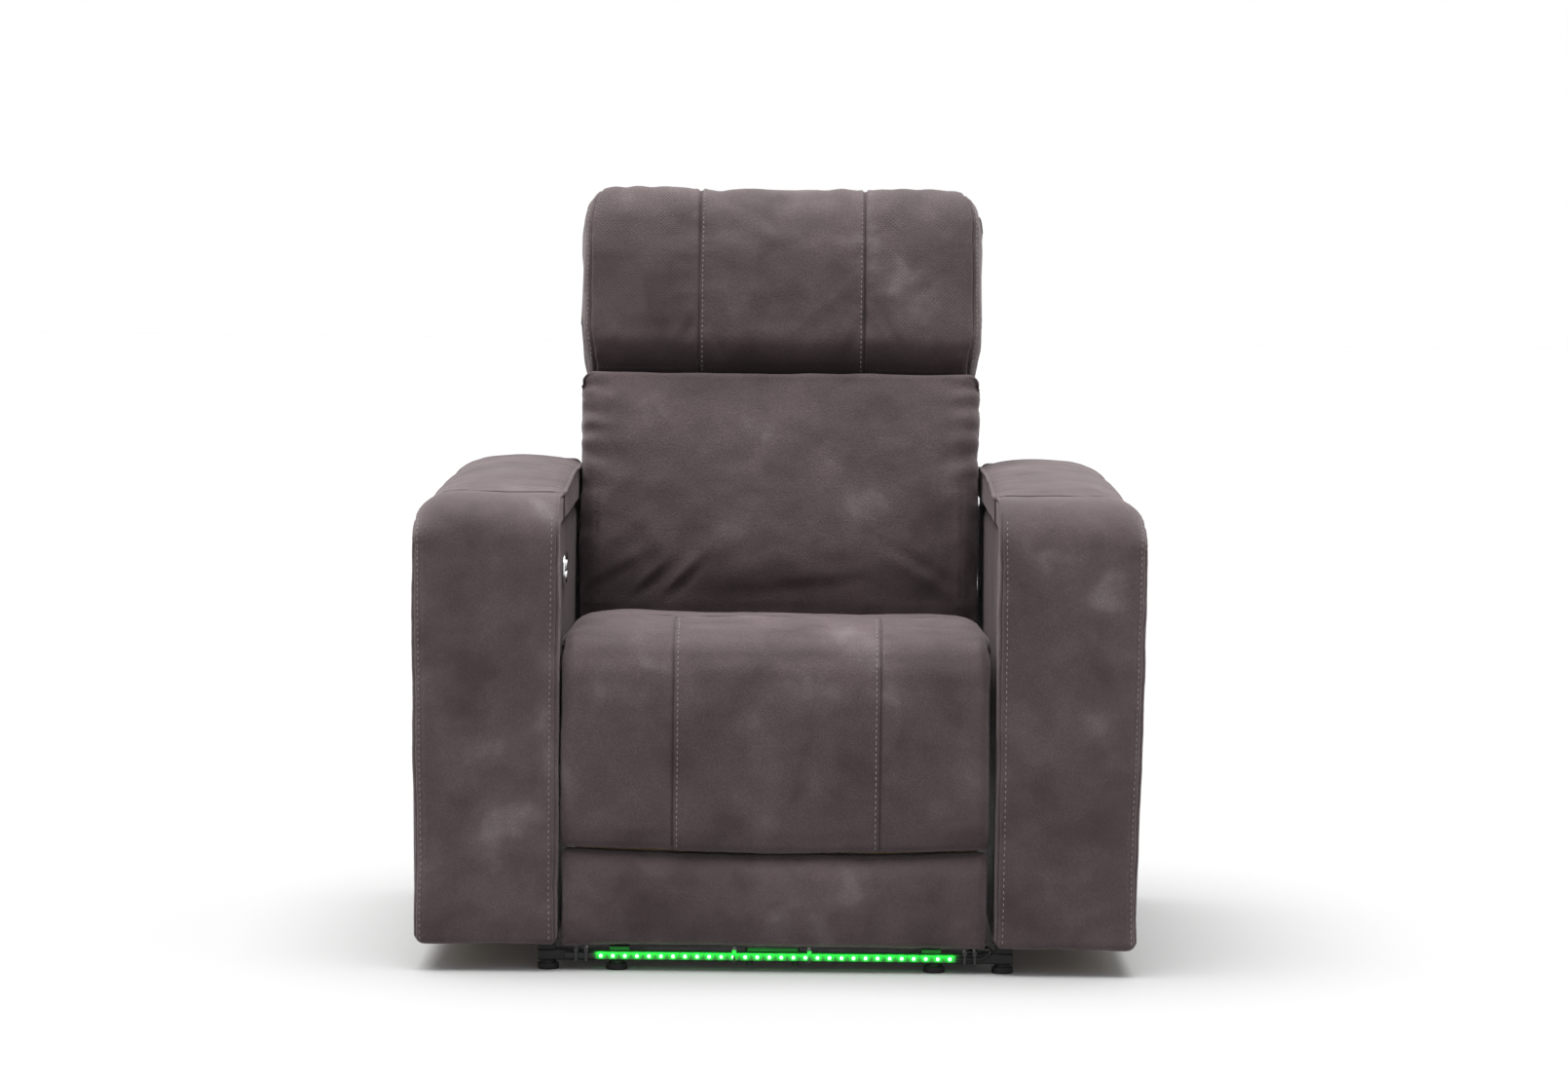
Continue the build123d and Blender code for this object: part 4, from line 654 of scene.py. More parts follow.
def leather(name, tone=1.0, perforated=False, nap=1.0):
    """Suede-faced microfibre leather: taupe with soft rubbed smudges, a fine pebble grain and a short nap."""
    m, t, b = material(name)
    at = node(t, "ShaderNodeAttribute", attribute_name="rest")
    vec = at.outputs["Vector"]
    wide = noise_tex(t, vec, 7.5, 2.4, 0.45, 0.35)
    cloud = noise_tex(t, vec, 17.0, 2.2, 0.42, 0.4)
    mott = noise_tex(t, vec, 62.0, 4.0, 0.62, 0.2)
    grain = node(t, "ShaderNodeTexVoronoi", Scale=500.0, feature="SMOOTH_F1")
    grain.inputs["Smoothness"].default_value = 0.6
    warp = mix_rgb(t, "LINEAR_LIGHT", 0.004, vec, node(t, "ShaderNodeTexNoise", Scale=140.0).outputs["Color"])
    t.links.new(warp, grain.inputs["Vector"])
    g = grain.outputs["Distance"]
    fine = noise_tex(t, vec, 520.0, 2.0, 0.6)
    # tone: broad smudges, then smaller ones, then the grain's tops
    dark = tuple(c * tone for c in (0.0330, 0.0220, 0.0232))
    mid = tuple(c * tone for c in (0.0490, 0.0352, 0.0366))
    light = tuple(c * tone for c in (0.1060, 0.0880, 0.0895))
    blend = maths(t, "ADD", maths(t, "MULTIPLY", wide, 0.58), maths(t, "MULTIPLY", cloud, 0.42))
    col = ramp(t, blend, [(0.34, dark), (0.49, mid), (0.58, tuple(c * 1.26 for c in mid)), (0.72, light)])
    m2 = ramp(t, mott, [(0.30, (0.95, 0.945, 0.945)), (0.70, (1.05, 1.05, 1.05))])
    col = mix_rgb(t, "MULTIPLY", 1.0, col, m2)
    g2 = ramp(t, g, [(0.10, (1.38, 1.38, 1.38)), (0.55, (0.72, 0.71, 0.71))])
    col = mix_rgb(t, "MULTIPLY", 0.75, col, g2)
    # the seam attribute darkens the colour: dark seams, and also painted shade where pads mark hollows, gaps and
    # undersides
    seam_and_painted_shade = node(t, "ShaderNodeAttribute", attribute_name="seam")
    col = mix_rgb(t, "MULTIPLY", seam_and_painted_shade.outputs["Fac"], col, (0.20, 0.115, 0.13))
    height = maths(t, "ADD", maths(t, "MULTIPLY", g, -0.62), maths(t, "MULTIPLY", fine, 0.22))
    crease = noise_tex(t, vec, 120.0, 3.0, 0.6, 1.2)
    height = maths(t, "ADD", height, maths(t, "MULTIPLY", crease, 0.55))
    if perforated:
        # staggered rows of small punched holes
        uv = node(t, "ShaderNodeAttribute", attribute_name="panel")
        sep = node(t, "ShaderNodeSeparateXYZ")
        t.links.new(uv.outputs["Vector"], sep.inputs[0])
        pitch = 0.0062
        hole = None
        for ox, oy in ((0.0, 0.0), (0.5, 0.5)):
            fx = maths(t, "SUBTRACT", maths(t, "FRACT", maths(t, "ADD", maths(t, "DIVIDE", sep.outputs[0], pitch), ox + 50)), 0.5)
            fy = maths(t, "SUBTRACT", maths(t, "FRACT", maths(t, "ADD", maths(t, "DIVIDE", sep.outputs[1], pitch), oy)), 0.5)
            d = maths(t, "SQRT", maths(t, "ADD", maths(t, "MULTIPLY", fx, fx), maths(t, "MULTIPLY", fy, fy)))
            one = ramp(t, d, [(0.09, (1, 1, 1)), (0.17, (0, 0, 0))])
            hole = one if hole is None else mix_rgb(t, "LIGHTEN", 1.0, hole, one)
        pf = node(t, "ShaderNodeAttribute", attribute_name="perf")
        hole = maths(t, "MULTIPLY", hole, pf.outputs["Fac"])
        col = mix_rgb(t, "MULTIPLY", hole, col, (0.42, 0.38, 0.38))
        height = maths(t, "SUBTRACT", height, maths(t, "MULTIPLY", hole, 1.1))
    t.links.new(col, b.inputs["Base Color"])
    rg = maths(t, "ADD", maths(t, "MULTIPLY", mott, 0.16), maths(t, "MULTIPLY", g, 0.14))
    t.links.new(maths(t, "ADD", rg, 0.50), b.inputs["Roughness"])
    bump = node(t, "ShaderNodeBump", Strength=0.72, Distance=0.0011)
    t.links.new(height, bump.inputs["Height"])
    t.links.new(bump.outputs["Normal"], b.inputs["Normal"])
    b.inputs["Specular IOR Level"].default_value = 0.28 * nap
    b.inputs["Specular Tint"].default_value = (1.0, 0.86, 0.875, 1)
    b.inputs["Sheen Weight"].default_value = 0.20 * nap
    b.inputs["Sheen Roughness"].default_value = 0.5
    b.inputs["Sheen Tint"].default_value = (1.0, 0.86, 0.875, 1)
    return m


def thread_material():
    m, t, b = material("thread")
    at = node(t, "ShaderNodeAttribute", attribute_name="rest")
    w = node(t, "ShaderNodeTexWave", Scale=900.0, Distortion=1.0)
    t.links.new(at.outputs["Vector"], w.inputs["Vector"])
    n = noise_tex(t, at.outputs["Vector"], 60.0, 2.0)
    c = mix_rgb(t, "MIX", n, (0.145, 0.122, 0.118), (0.25, 0.215, 0.208))
    c = mix_rgb(t, "MULTIPLY", 0.4, c, w.outputs["Color"])
    t.links.new(c, b.inputs["Base Color"])
    b.inputs["Roughness"].default_value = 0.6
    b.inputs["Sheen Weight"].default_value = 0.2
    bump = node(t, "ShaderNodeBump", Strength=0.5, Distance=0.0002)
    t.links.new(w.outputs["Fac"], bump.inputs["Height"])
    t.links.new(bump.outputs["Normal"], b.inputs["Normal"])
    return m


def steel(name, base, rough, metallic, wear=0.0, brushed=False):
    """Painted or plated steel, with orange peel, dust in it and rubbed patches."""
    m, t, b = material(name, metallic=metallic)
    tc = node(t, "ShaderNodeTexCoord").outputs["Object"]
    if brushed:
        mp = node(t, "ShaderNodeMapping")
        mp.inputs["Scale"].default_value = (40, 900, 900)
        t.links.new(tc, mp.inputs["Vector"])
        streak = noise_tex(t, mp.outputs["Vector"], 1.0, 3.0, 0.6)
    else:
        streak = noise_tex(t, tc, 700.0, 2.0, 0.5)
    blot = noise_tex(t, tc, 26.0, 4.0, 0.6, 0.4)
    spots = noise_tex(t, tc, 160.0, 3.0, 0.65)
    c = ramp(t, blot, [(0.32, tuple(x * 0.72 for x in base)), (0.66, tuple(min(1, x * 1.3 + 0.004) for x in base))])
    c = mix_rgb(t, "MIX", maths(t, "MULTIPLY", ramp(t, spots, [(0.62, (0, 0, 0)), (0.78, (1, 1, 1))]), 0.25 + wear), c,
                tuple(min(1, x * 1.8 + 0.008) for x in base))
    b.inputs["Specular IOR Level"].default_value = 0.3
    t.links.new(c, b.inputs["Base Color"])
    r = maths(t, "ADD", maths(t, "MULTIPLY", blot, 0.22), rough - 0.10)
    r = maths(t, "ADD", r, maths(t, "MULTIPLY", streak, 0.08))
    t.links.new(r, b.inputs["Roughness"])
    bump = node(t, "ShaderNodeBump", Strength=0.25, Distance=0.0002)
    t.links.new(streak, bump.inputs["Height"])
    t.links.new(bump.outputs["Normal"], b.inputs["Normal"])
    return m


def plastic(name, base, rough=0.5, grain=1500.0, spec=0.45):
    m, t, b = material(name)
    tc = node(t, "ShaderNodeTexCoord").outputs["Object"]
    g = node(t, "ShaderNodeTexVoronoi", Scale=grain)
    t.links.new(tc, g.inputs["Vector"])
    blot = noise_tex(t, tc, 30.0, 3.0, 0.6)
    c = ramp(t, blot, [(0.3, tuple(x * 0.8 for x in base)), (0.7, tuple(x * 1.25 + 0.002 for x in base))])
    t.links.new(c, b.inputs["Base Color"])
    t.links.new(maths(t, "ADD", maths(t, "MULTIPLY", blot, 0.2), rough - 0.1), b.inputs["Roughness"])
    b.inputs["Specular IOR Level"].default_value = spec
    bump = node(t, "ShaderNodeBump", Strength=0.3, Distance=0.00015)
    t.links.new(g.outputs["Distance"], bump.inputs["Height"])
    t.links.new(bump.outputs["Normal"], b.inputs["Normal"])
    return m


def plywood(name):
    """Birch plywood: long soft grain on the faces, thin glued layers on the edges."""
    m, t, b = material(name)
    tc = node(t, "ShaderNodeTexCoord").outputs["Object"]
    mp = node(t, "ShaderNodeMapping")
    mp.inputs["Scale"].default_value = (22, 1.6, 22)
    t.links.new(tc, mp.inputs["Vector"])
    g1 = noise_tex(t, mp.outputs["Vector"], 3.0, 5.0, 0.62, 1.2)
    g2 = noise_tex(t, mp.outputs["Vector"], 16.0, 3.0, 0.6, 0.3)
    c = ramp(t, g1, [(0.25, (0.40, 0.25, 0.13)), (0.5, (0.60, 0.42, 0.25)), (0.75, (0.70, 0.53, 0.34))])
    c = mix_rgb(t, "MULTIPLY", 0.5, c, ramp(t, g2, [(0.3, (0.8, 0.76, 0.7)), (0.7, (1.1, 1.08, 1.05))]))
    w = node(t, "ShaderNodeTexWave", Scale=210.0, Distortion=0.6)
    w.bands_direction = "DIAGONAL"
    t.links.new(tc, w.inputs["Vector"])
    c = mix_rgb(t, "MULTIPLY", 0.18, c, w.outputs["Color"])
    t.links.new(c, b.inputs["Base Color"])
    b.inputs["Roughness"].default_value = 0.7
    bump = node(t, "ShaderNodeBump", Strength=0.35, Distance=0.0004)
    t.links.new(g2, bump.inputs["Height"])
    t.links.new(bump.outputs["Normal"], b.inputs["Normal"])
    return m


def chrome(name):
    m, t, b = material(name, metallic=1.0)
    tc = node(t, "ShaderNodeTexCoord").outputs["Object"]
    smear = noise_tex(t, tc, 90.0, 4.0, 0.6, 0.8)
    t.links.new(ramp(t, smear, [(0.3, (0.78, 0.78, 0.79)), (0.7, (0.90, 0.90, 0.91))]), b.inputs["Base Color"])
    t.links.new(maths(t, "ADD", maths(t, "MULTIPLY", smear, 0.10), 0.04), b.inputs["Roughness"])
    return m


def lamp(name, colour, strength, core):
    """A lit LED: a hot pale die inside a green lens."""
    m, t, b = material(name)
    tc = node(t, "ShaderNodeTexCoord").outputs["Object"]
    sep = node(t, "ShaderNodeSeparateXYZ")
    t.links.new(tc, sep.inputs[0])
    pitch = 0.5 / 30
    fx = maths(t, "MULTIPLY", maths(t, "SUBTRACT", maths(t, "FRACT", maths(t, "ADD", maths(t, "DIVIDE", sep.outputs[0], pitch), 50.0)), 0.5), pitch)
    fz = maths(t, "SUBTRACT", sep.outputs[2], 0.021)
    d = maths(t, "SQRT", maths(t, "ADD", maths(t, "MULTIPLY", fx, fx), maths(t, "MULTIPLY", fz, fz)))
    c = ramp(t, maths(t, "DIVIDE", d, 0.0035), [(0.25, core), (0.85, colour)])
    t.links.new(c, b.inputs["Base Color"])
    t.links.new(c, b.inputs["Emission Color"])
    b.inputs["Emission Strength"].default_value = strength
    b.inputs["Roughness"].default_value = 0.25
    return m


def tape_painted_glow(name):
    """The flexible circuit that the LEDs sit on, with a painted green glow next to each one, in place of the light the
    LEDs throw on it.
    """
    m, t, b = material(name)
    tc = node(t, "ShaderNodeTexCoord").outputs["Object"]
    sep = node(t, "ShaderNodeSeparateXYZ")
    t.links.new(tc, sep.inputs[0])
    pitch = 0.5 / 30
    fx = maths(t, "MULTIPLY", maths(t, "SUBTRACT", maths(t, "FRACT", maths(t, "ADD", maths(t, "DIVIDE", sep.outputs[0], pitch), 50.0)), 0.5), pitch)
    fz = maths(t, "SUBTRACT", sep.outputs[2], 0.021)
    d = maths(t, "SQRT", maths(t, "ADD", maths(t, "MULTIPLY", fx, fx), maths(t, "MULTIPLY", fz, fz)))
    # painted glow: emission that fades with distance from each LED
    near = ramp(t, maths(t, "DIVIDE", d, 0.009), [(0.22, (0.9, 0.9, 0.9)), (0.50, (0.34, 0.34, 0.34)), (0.88, (0.03, 0.03, 0.03))])
    pads = noise_tex(t, tc, 420.0, 1.0)
    c = mix_rgb(t, "MIX", ramp(t, pads, [(0.5, (0, 0, 0)), (0.56, (1, 1, 1))], "CONSTANT"), (0.008, 0.03, 0.010), (0.020, 0.07, 0.024))
    t.links.new(c, b.inputs["Base Color"])
    e = mix_rgb(t, "MULTIPLY", 1.0, near, (0.0, 0.80, 0.035))
    t.links.new(e, b.inputs["Emission Color"])
    b.inputs["Emission Strength"].default_value = 1.4
    b.inputs["Roughness"].default_value = 0.35
    return m


HIDE = leather("suede_leather")
HIDE_PERF = leather("suede_leather_perforated", perforated=True)
# painted shade: the arms' inner sides get a darker copy of the leather, with less sheen
HIDE_SHADED = leather("suede_leather_inner_painted_shade", tone=0.74, nap=0.45)
THREAD = thread_material()
BLACK_STEEL = steel("black_powder_coat", (0.0045, 0.0045, 0.005), 0.50, 0.0)
RIVET = steel("black_rivets", (0.010, 0.010, 0.011), 0.42, 0.6)
ZINC = steel("zinc_plate", (0.48, 0.47, 0.44), 0.36, 1.0, 0.1, True)
HINGE = steel("blackened_hinge", (0.035, 0.034, 0.034), 0.45, 1.0, 0.05, True)
SPRING = steel("oiled_spring_wire", (0.16, 0.16, 0.17), 0.34, 1.0, 0.15)
PLY = plywood("birch_plywood")
BLACK_PLASTIC = plastic("black_moulding", (0.008, 0.008, 0.008), 0.48, spec=0.35)
GLIDE = plastic("glide_rubbery_plastic", (0.005, 0.005, 0.005), 0.6, 900.0, 0.3)
CABLE = plastic("cable_jacket", (0.006, 0.006, 0.0065), 0.42, 700.0, 0.35)
TIE = plastic("nylon_tie", (0.012, 0.013, 0.012), 0.35, 1100.0)
CHROME = chrome("chrome_trim")
LED = lamp("led_green", (0.0, 0.72, 0.06), 3.4, (0.70, 1.0, 0.76))
TAPE_PAINTED_GLOW = tape_painted_glow("led_tape")

for names, mat in (
    (("front_cross_tube", "rear_cross_tube", "base_rails", "pivot_uprights", "frame_brackets", "carriage_links_front",
      "carriage_links_rear", "seat_side_plates", "seat_cross_tubes", "footrest_brackets", "drive_tube", "inner_links",
      "outer_cranks", "outer_links", "back_frame"), BLACK_STEEL),
    (("seat_pivots",), RIVET),
    (("lid_hinges", "lid_leaf_left", "lid_leaf_right"), HINGE),
    (("seat_springs",), SPRING),
    (("arm_frames", "lid_board_left", "lid_board_right", "seat_box", "footrest_board", "headrest_board"), PLY),
    (("power_supply", "storage_bins", "control_box", "footrest_actuator", "recline_actuator", "headrest_actuator",
      "footrest_slider", "recline_slider", "headrest_slider"), BLACK_PLASTIC),
    (("glide_feet",), GLIDE),
    (("cable_ties",), TIE),
    (("led_lead",), CABLE),
    (("control_bezel", "button_1", "button_2", "button_3", "button_4"), CHROME),
    (("led_strip",), TAPE_PAINTED_GLOW),
    (("led_chips",), LED),
):
    for nm in names:
        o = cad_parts[nm]
        o.data.materials.clear()
        o.data.materials.append(mat)

# ---------------------------------------------------------------- camera
PITCH, ROLL = 3.7837, 0.60
cam_data = bpy.data.cameras.new("camera")
cam = bpy.data.objects.new("camera", cam_data)
scene.collection.objects.link(cam)
cam_data.sensor_width = 36.0
cam_data.sensor_fit = "HORIZONTAL"
cam_data.lens = 5445.33 / 1610 * 36.0
cam_data.clip_end = 100.0
cam.location = (0.006, -7.738, 1.0817)
cam.rotation_mode = "XYZ"
look = Matrix.Rotation(math.radians(90 - PITCH), 4, "X") @ Matrix.Rotation(math.radians(ROLL), 4, "Z")
cam.matrix_world = Matrix.Translation(cam.location) @ look
scene.camera = cam

# ---------------------------------------------------------------- seat
HALF = 296.0


def place_x(a, d, z):
    y, zz = yz(d, z)
    return np.stack([np.asarray(a) * MM * np.ones_like(y), y, zz], -1)


def place_back(a, w, n):
    d, z = bk(w, n)
    return place_x(a, d, z)


def side_round(top, front, other):
    """Edge radius by which way the outline faces: up, to the front, or elsewhere."""
    def r(loop, n):
        up = smooth(0.15, 0.85, n[:, 1])
        fr = smooth(0.2, 0.9, -n[:, 0]) * (1 - up)
        return other + (front - other) * fr + (top - other) * up
    return r


def crest_shape(pad):
    """The soft relief of the seat's top and crest, the same on the front cover and on the seat."""
    X = pad.P[..., 0] / MM
    Dp = pad.P[..., 1] / MM + 475
    topness = smooth(0.3, 0.9, pad.normals()[..., 2])
    # the crest is a little higher to each side than in the middle, with a soft dip behind it
    pad.push(topness * smooth(52, 110, Dp) * (4.6 * np.exp(-(((X + 222) / 46) ** 2)) + 2.6 * np.exp(-(((X - 244) / 44) ** 2)) - 2.0 * smooth(150, 260, Dp)))
    # gentle lengthwise waves over the crest, where the cover is pulled over the foam
    crest = np.exp(-(((Dp - 95) / 55) ** 2)) * topness
    pad.push(crest * (1.0 * np.sin((X + 40) / 37.0 + 0.6 * noise(pad.P, 120, 9)) * noise(pad.P, 160, 10)))
    along = pad.P * np.array([0.28, 1, 1])
    pad.push(topness * smooth(30, 62, Dp) * smooth(170, 110, Dp) * (1.5 * noise(along, 15, 12) + 0.8 * noise(along, 8, 13)))


def end_fall(pad):
    """The crest and the seat's top round off at both ends, beside the arms."""
    Xm, Dm, Zm = pad.P[..., 0] / MM, pad.P[..., 1] / MM + 475, pad.P[..., 2] / MM
    q = np.clip((46 - np.minimum(Xm + 298.5, 292.5 - Xm)) / 46, 0, 0.93)
    pad.P[..., 2] -= MM * 42 * (1 - np.sqrt(1 - q ** 2)) * smooth(24, 96, Dm) * smooth(440, 462, Zm)


seat_loop = rounded_loop([
    (141, 486.2, 0.8), (170, 483.8, 60), (300, 474, 300), (470, 460.5, 200), (556, 453, 18),
    (536, 397, 14), (86, 397, 10), (72, 430, 12), (73, 450, 10), (140.4, 466, 0.8),
], 4.0)
seat = Pad(seat_loop, -299.0, 293.5, side_round(11, 9, 9), side_round(11, 9, 9), place_x,
           [(110, 430), (520, 430)], 7.0, bulge=(0.5, 0.5), turns=9)
hold = np.zeros(seat.A.shape)
hold[seat.kind == 0] = 1
front_low = (seat.Q[..., 0] < 156) | (seat.Q[..., 1] < 425)
hold = np.maximum(hold, front_low * 1.0)
puff(seat, hold, 4.0, 7.0, shrink=-0.015)
end_fall(seat)
crest_shape(seat)
seat.crumple(31, 1.4, 0.4)
finish_pad("seat_cover", seat, HIDE, "seat", ("seat_cushion",))

# ---------------------------------------------------------------- front cover and foot pad
fold = ("seat", "footrest", (0.0, (45 - 475) * MM, 0.485), (0.0, (45 - 475) * MM, 0.400))
front_loop = rounded_loop([
    (139.4, 486.2, 0.8), (122, 486.4, 90), (84, 484.8, 80), (48, 473.4, 60), (23, 453, 50), (9.5, 421, 70), (4.5, 380, 200), (3, 310, 400), (5, 240, 300),
    (8, 202, 80), (14, 174, 16), (57, 174, 6), (57, 430, 8), (64, 458, 8), (138.8, 475.5, 0.8),
], 4.0)
SEAM_L, SEAM_R = -144.0, 142.0


def front_round(loop, n):
    r = side_round(14, 17, 6)(loop, n)
    flap = smooth(52, 86, loop[:, 0]) * smooth(440, 458, loop[:, 1])
    return r * (1 - flap) + 4.0 * flap


front = Pad(front_loop, -298.5, 292.5, front_round, front_round, place_x,
            [(32, 205), (32, 420), (46, 452), (128, 482)], 7.0, (SEAM_L, SEAM_R), bulge=(0.5, 0.5), turns=7)
hold = np.zeros(front.A.shape)
hold[front.kind == 0] = 1
inner = (front.ln[:, 0] > 0.3) | (front.ln[:, 1] < -0.3) | (front.loop[:, 0] > 124)
hold = np.maximum(hold, 1.0 * inner[None, :])
for s in (SEAM_L, SEAM_R):
    hold = np.maximum(hold, 0.8 * np.exp(-(((front.A - s) / 5.0) ** 2)))
puff(front, hold, 4.0, 6.5, shrink=-0.012)
# the crest's ends round off beside the arms, as the seat behind does
end_fall(front)
nrm = front.normals()
facing = smooth(0.2, 0.6, np.maximum(-nrm[..., 1], nrm[..., 2])) * (front.Q[..., 0] < 134)
for s in (SEAM_L, SEAM_R):
    front.seam(np.where(facing > 0.2, front.A - s, 99.0), 1.9, 2.3, 0.75, 0.5)
crest_shape(front)
Z = front.P[..., 2] / MM
X = front.P[..., 0] / MM
front.crumple(31, 1.5, 0.4)
# the lower edge hangs a little lower in the middle
front.P[..., 2] -= MM * 7.0 * (1 - np.clip(X / 285, -1, 1) ** 2) * smooth(300, 178, Z)
# a shallow pinch under the crest at both sides
pinch = np.exp(-(((Z - 452) / 15) ** 2)) * (front.Q[..., 0] < 56)
front.P[..., 0] -= np.sign(X) * MM * 4.0 * pinch * smooth(255, 292, np.abs(X))
# painted shade along the lower edge of the front, where it meets the foot pad
front.dark = np.maximum(front.dark, 0.35 * smooth(12, 0, np.abs(front.Q[..., 1] - 174)) * (front.Q[..., 0] < 40))
finish_pad("front_cover", front, HIDE, None, ("chaise_pad",), fold)


def run_on(pad, a, keep, off=0.0):
    """Stitch line on a pad at axis place a, along the part of the outline that keep picks."""
    i = int(np.argmin(np.abs(pad.A.mean(1) - a) + (pad.kind != 2) * 1e3))
    P, N = pad.P[i], pad.normals()[i]
    t = (a - pad.A[i].mean()) * MM
    ok = np.array([keep(q, nn) for q, nn in zip(pad.Q[i], pad.ln)])
    k = np.where(ok)[0]
    if len(k) == 0:
        return None
    cut = np.where(np.diff(k) > 1)[0]
    if len(cut):
        k = np.concatenate([k[cut[-1] + 1:], k[: cut[-1] + 1]]) if len(cut) == 1 else k
    return P[k] + np.array([t, 0, 0]), N[k]


lines = []
for a in (SEAM_L + 6.0, SEAM_R - 6.0):
    lines.append(run_on(front, a, lambda q, n: (n[0] < -0.35 or n[1] > 0.3) and 178 < q[1] and q[0] < 100))
stitches("front_cover_stitches", lines, THREAD, None, fold)

foot_loop = rounded_loop([
    (20, 171, 14), (9, 140, 60), (7, 110, 200), (8, 70, 100), (14, 37, 12), (58, 37, 4), (58, 168, 5),
], 4.0)
foot = Pad(foot_loop, -297.0, 291.0, side_round(9, 15, 6), side_round(9, 15, 6), place_x,
           [(34, 70), (34, 140)], 7.0, bulge=(0.5, 0.5))
hold = np.zeros(foot.A.shape)
hold[foot.kind == 0] = 1
hold = np.maximum(hold, 1.0 * ((foot.Q[..., 0] > 40) | (foot.Q[..., 1] < 46)))
puff(foot, hold, 3.5, 6.0, shrink=-0.01)
foot.crumple(41, 1.3, 0.4)
X, Z = foot.P[..., 0] / MM, foot.P[..., 2] / MM
foot.P[..., 2] -= MM * 5.0 * (1 - np.clip(X / 285, -1, 1) ** 2) * smooth(120, 172, Z)
foot.P[..., 2] -= MM * 3.0 * np.clip(np.abs(X) / 290, 0, 1) ** 6 * smooth(70, 37, Z)
# turned hem along the lower edge
hem = foot.Q[..., 1]
foot.seam(np.where((foot.normals()[..., 1] < -0.3), hem - 49.0, 99.0), 0.9, 1.8, 0.35, 0.3)
# painted shade along the top of the foot pad, under the front cover
foot.dark = np.maximum(foot.dark, 0.75 * smooth(152, 171, foot.Q[..., 1]) * (foot.Q[..., 0] < 40))
finish_pad("foot_cover", foot, HIDE, "footrest", ("foot_pad",))

# ---------------------------------------------------------------- back cushion
lumbar_loop = rounded_loop([
    (-100, 16, 26), (-20, 2, 60), (70, -4, 300), (150, -4, 300), (250, -1, 200), (335, 5, 12), (329, 25, 11), (313, 44, 30), (313, 118, 12), (-100, 118, 12),
], 3.6)


def lumbar_round(loop, n):
    up = smooth(0.3, 0.9, n[:, 0])
    fr = smooth(0.2, 0.9, -n[:, 1]) * (1 - up)
    return 10 + 16 * fr + 8 * up


lumbar = Pad(lumbar_loop, -HALF - 0.5, HALF - 2, lumbar_round, lumbar_round, place_back,
             [(-60, 60), (280, 60)], 6.0, bulge=(1.0, 1.0), turns=8)
hold = np.zeros(lumbar.A.shape)
hold[lumbar.kind == 0] = 1
hold = np.maximum(hold, 1.0 * ((lumbar.Q[..., 1] > 70) | ((lumbar.Q[..., 0] > 308) & (lumbar.Q[..., 1] > 12))))
puff(lumbar, hold, 7.0, 11.0, shrink=-0.03)
X = lumbar.P[..., 0] / MM
W, Nn = lumbar.Q[..., 0], lumbar.Q[..., 1]
face = smooth(0.2, 0.8, -lumbar.normals()[..., 1])
# gathers where the front panel is drawn to the side seams
gather = np.zeros_like(X)
edge = HALF - 1 - np.abs(X)
for sgn, rows in ((-1, ((311, 3.2, 42, 5.5, .10), (272, 3.8, 58, 7.0, .20), (240, 3.0, 44, 6.0, .06), (208, 3.4, 66, 8.0, .28),
                        (158, 1.6, 60, 9.0, .2), (96, 1.4, 60, 11.0, .2))),
                  (1, ((313, 2.8, 40, 5.5, .05), (284, 3.4, 56, 7.0, .18), (248, 3.2, 46, 6.5, .02), (212, 3.6, 64, 8.5, .25),
                       (170, 1.8, 50, 8.0, .12), (112, 1.4, 60, 10.0, .2)))):
    for w0, amp, reach, wide, slope in rows:
        on = np.where(np.sign(X) == sgn, 1.0, 0.0)
        dd = (W - w0 + slope * np.maximum(edge, 0)) / (wide * (1 + np.maximum(edge, 0) / 70))
        gather += on * (-amp * np.exp(-(dd ** 2)) + 0.55 * amp * np.exp(-((np.abs(dd) - 1.9) ** 2))) * np.exp(-np.maximum(edge, 0) / reach * 1.3) * smooth(-8, 10, edge + 8)
lumbar.push(0.72 * gather * np.clip(face + 0.55, 0, 1) * smooth(100, 60, Nn))
# diagonal folds low on the left, and a softer pair on the right
folds = np.zeros_like(X)
for x0, w0, ang, length, amp, wide in ((-190, 14, 44, 34, 3.4, 8.0), (-143, 14, 46, 38, 4.2, 8.5), (-236, 30, 30, 46, 1.6, 10.0),
                                       (205, 34, 150, 60, 1.6, 12.0), (30, 8, 8, 90, 1.2, 14.0), (-40, 66, 20, 90, 0.8, 18.0)):
    ca, sa = math.cos(math.radians(ang)), math.sin(math.radians(ang))
    u = (X - x0) * ca + (W - w0) * sa
    v = -(X - x0) * sa + (W - w0) * ca
    folds += amp * (np.exp(-(((v - wide * 0.7) / wide) ** 2)) - 1.1 * np.exp(-(((v + wide * 0.5) / (wide * 0.8)) ** 2))) * np.exp(-((u / length) ** 2))
lumbar.push(folds * face * smooth(-40, 10, W))
# the cushion sinks where the seat holds its lower edge, and hollows a little at the sides low down
lumbar.push(-4.0 * face * smooth(60, -10, W) - 2.5 * face * smooth(90, 10, edge) * smooth(160, 20, W))
lumbar.crumple(51, 1.7, 0.45)
# painted shade: darker low down where the seat holds it, at the sides low between the arms, and along the top under the
# headrest
lumbar.dark = np.maximum(lumbar.dark, 0.62 * smooth(62, 2, W) * face)
lumbar.dark = np.maximum(lumbar.dark, 0.30 * smooth(40, 4, edge) * smooth(250, 60, W))
lumbar.dark = np.maximum(lumbar.dark, 0.20 * smooth(314, 330, W))
top_seam = np.abs(W - 322) + np.where(Nn > 60, 0, 99)
finish_pad("lumbar_cover", lumbar, HIDE, "back", ("lumbar_cushion",))

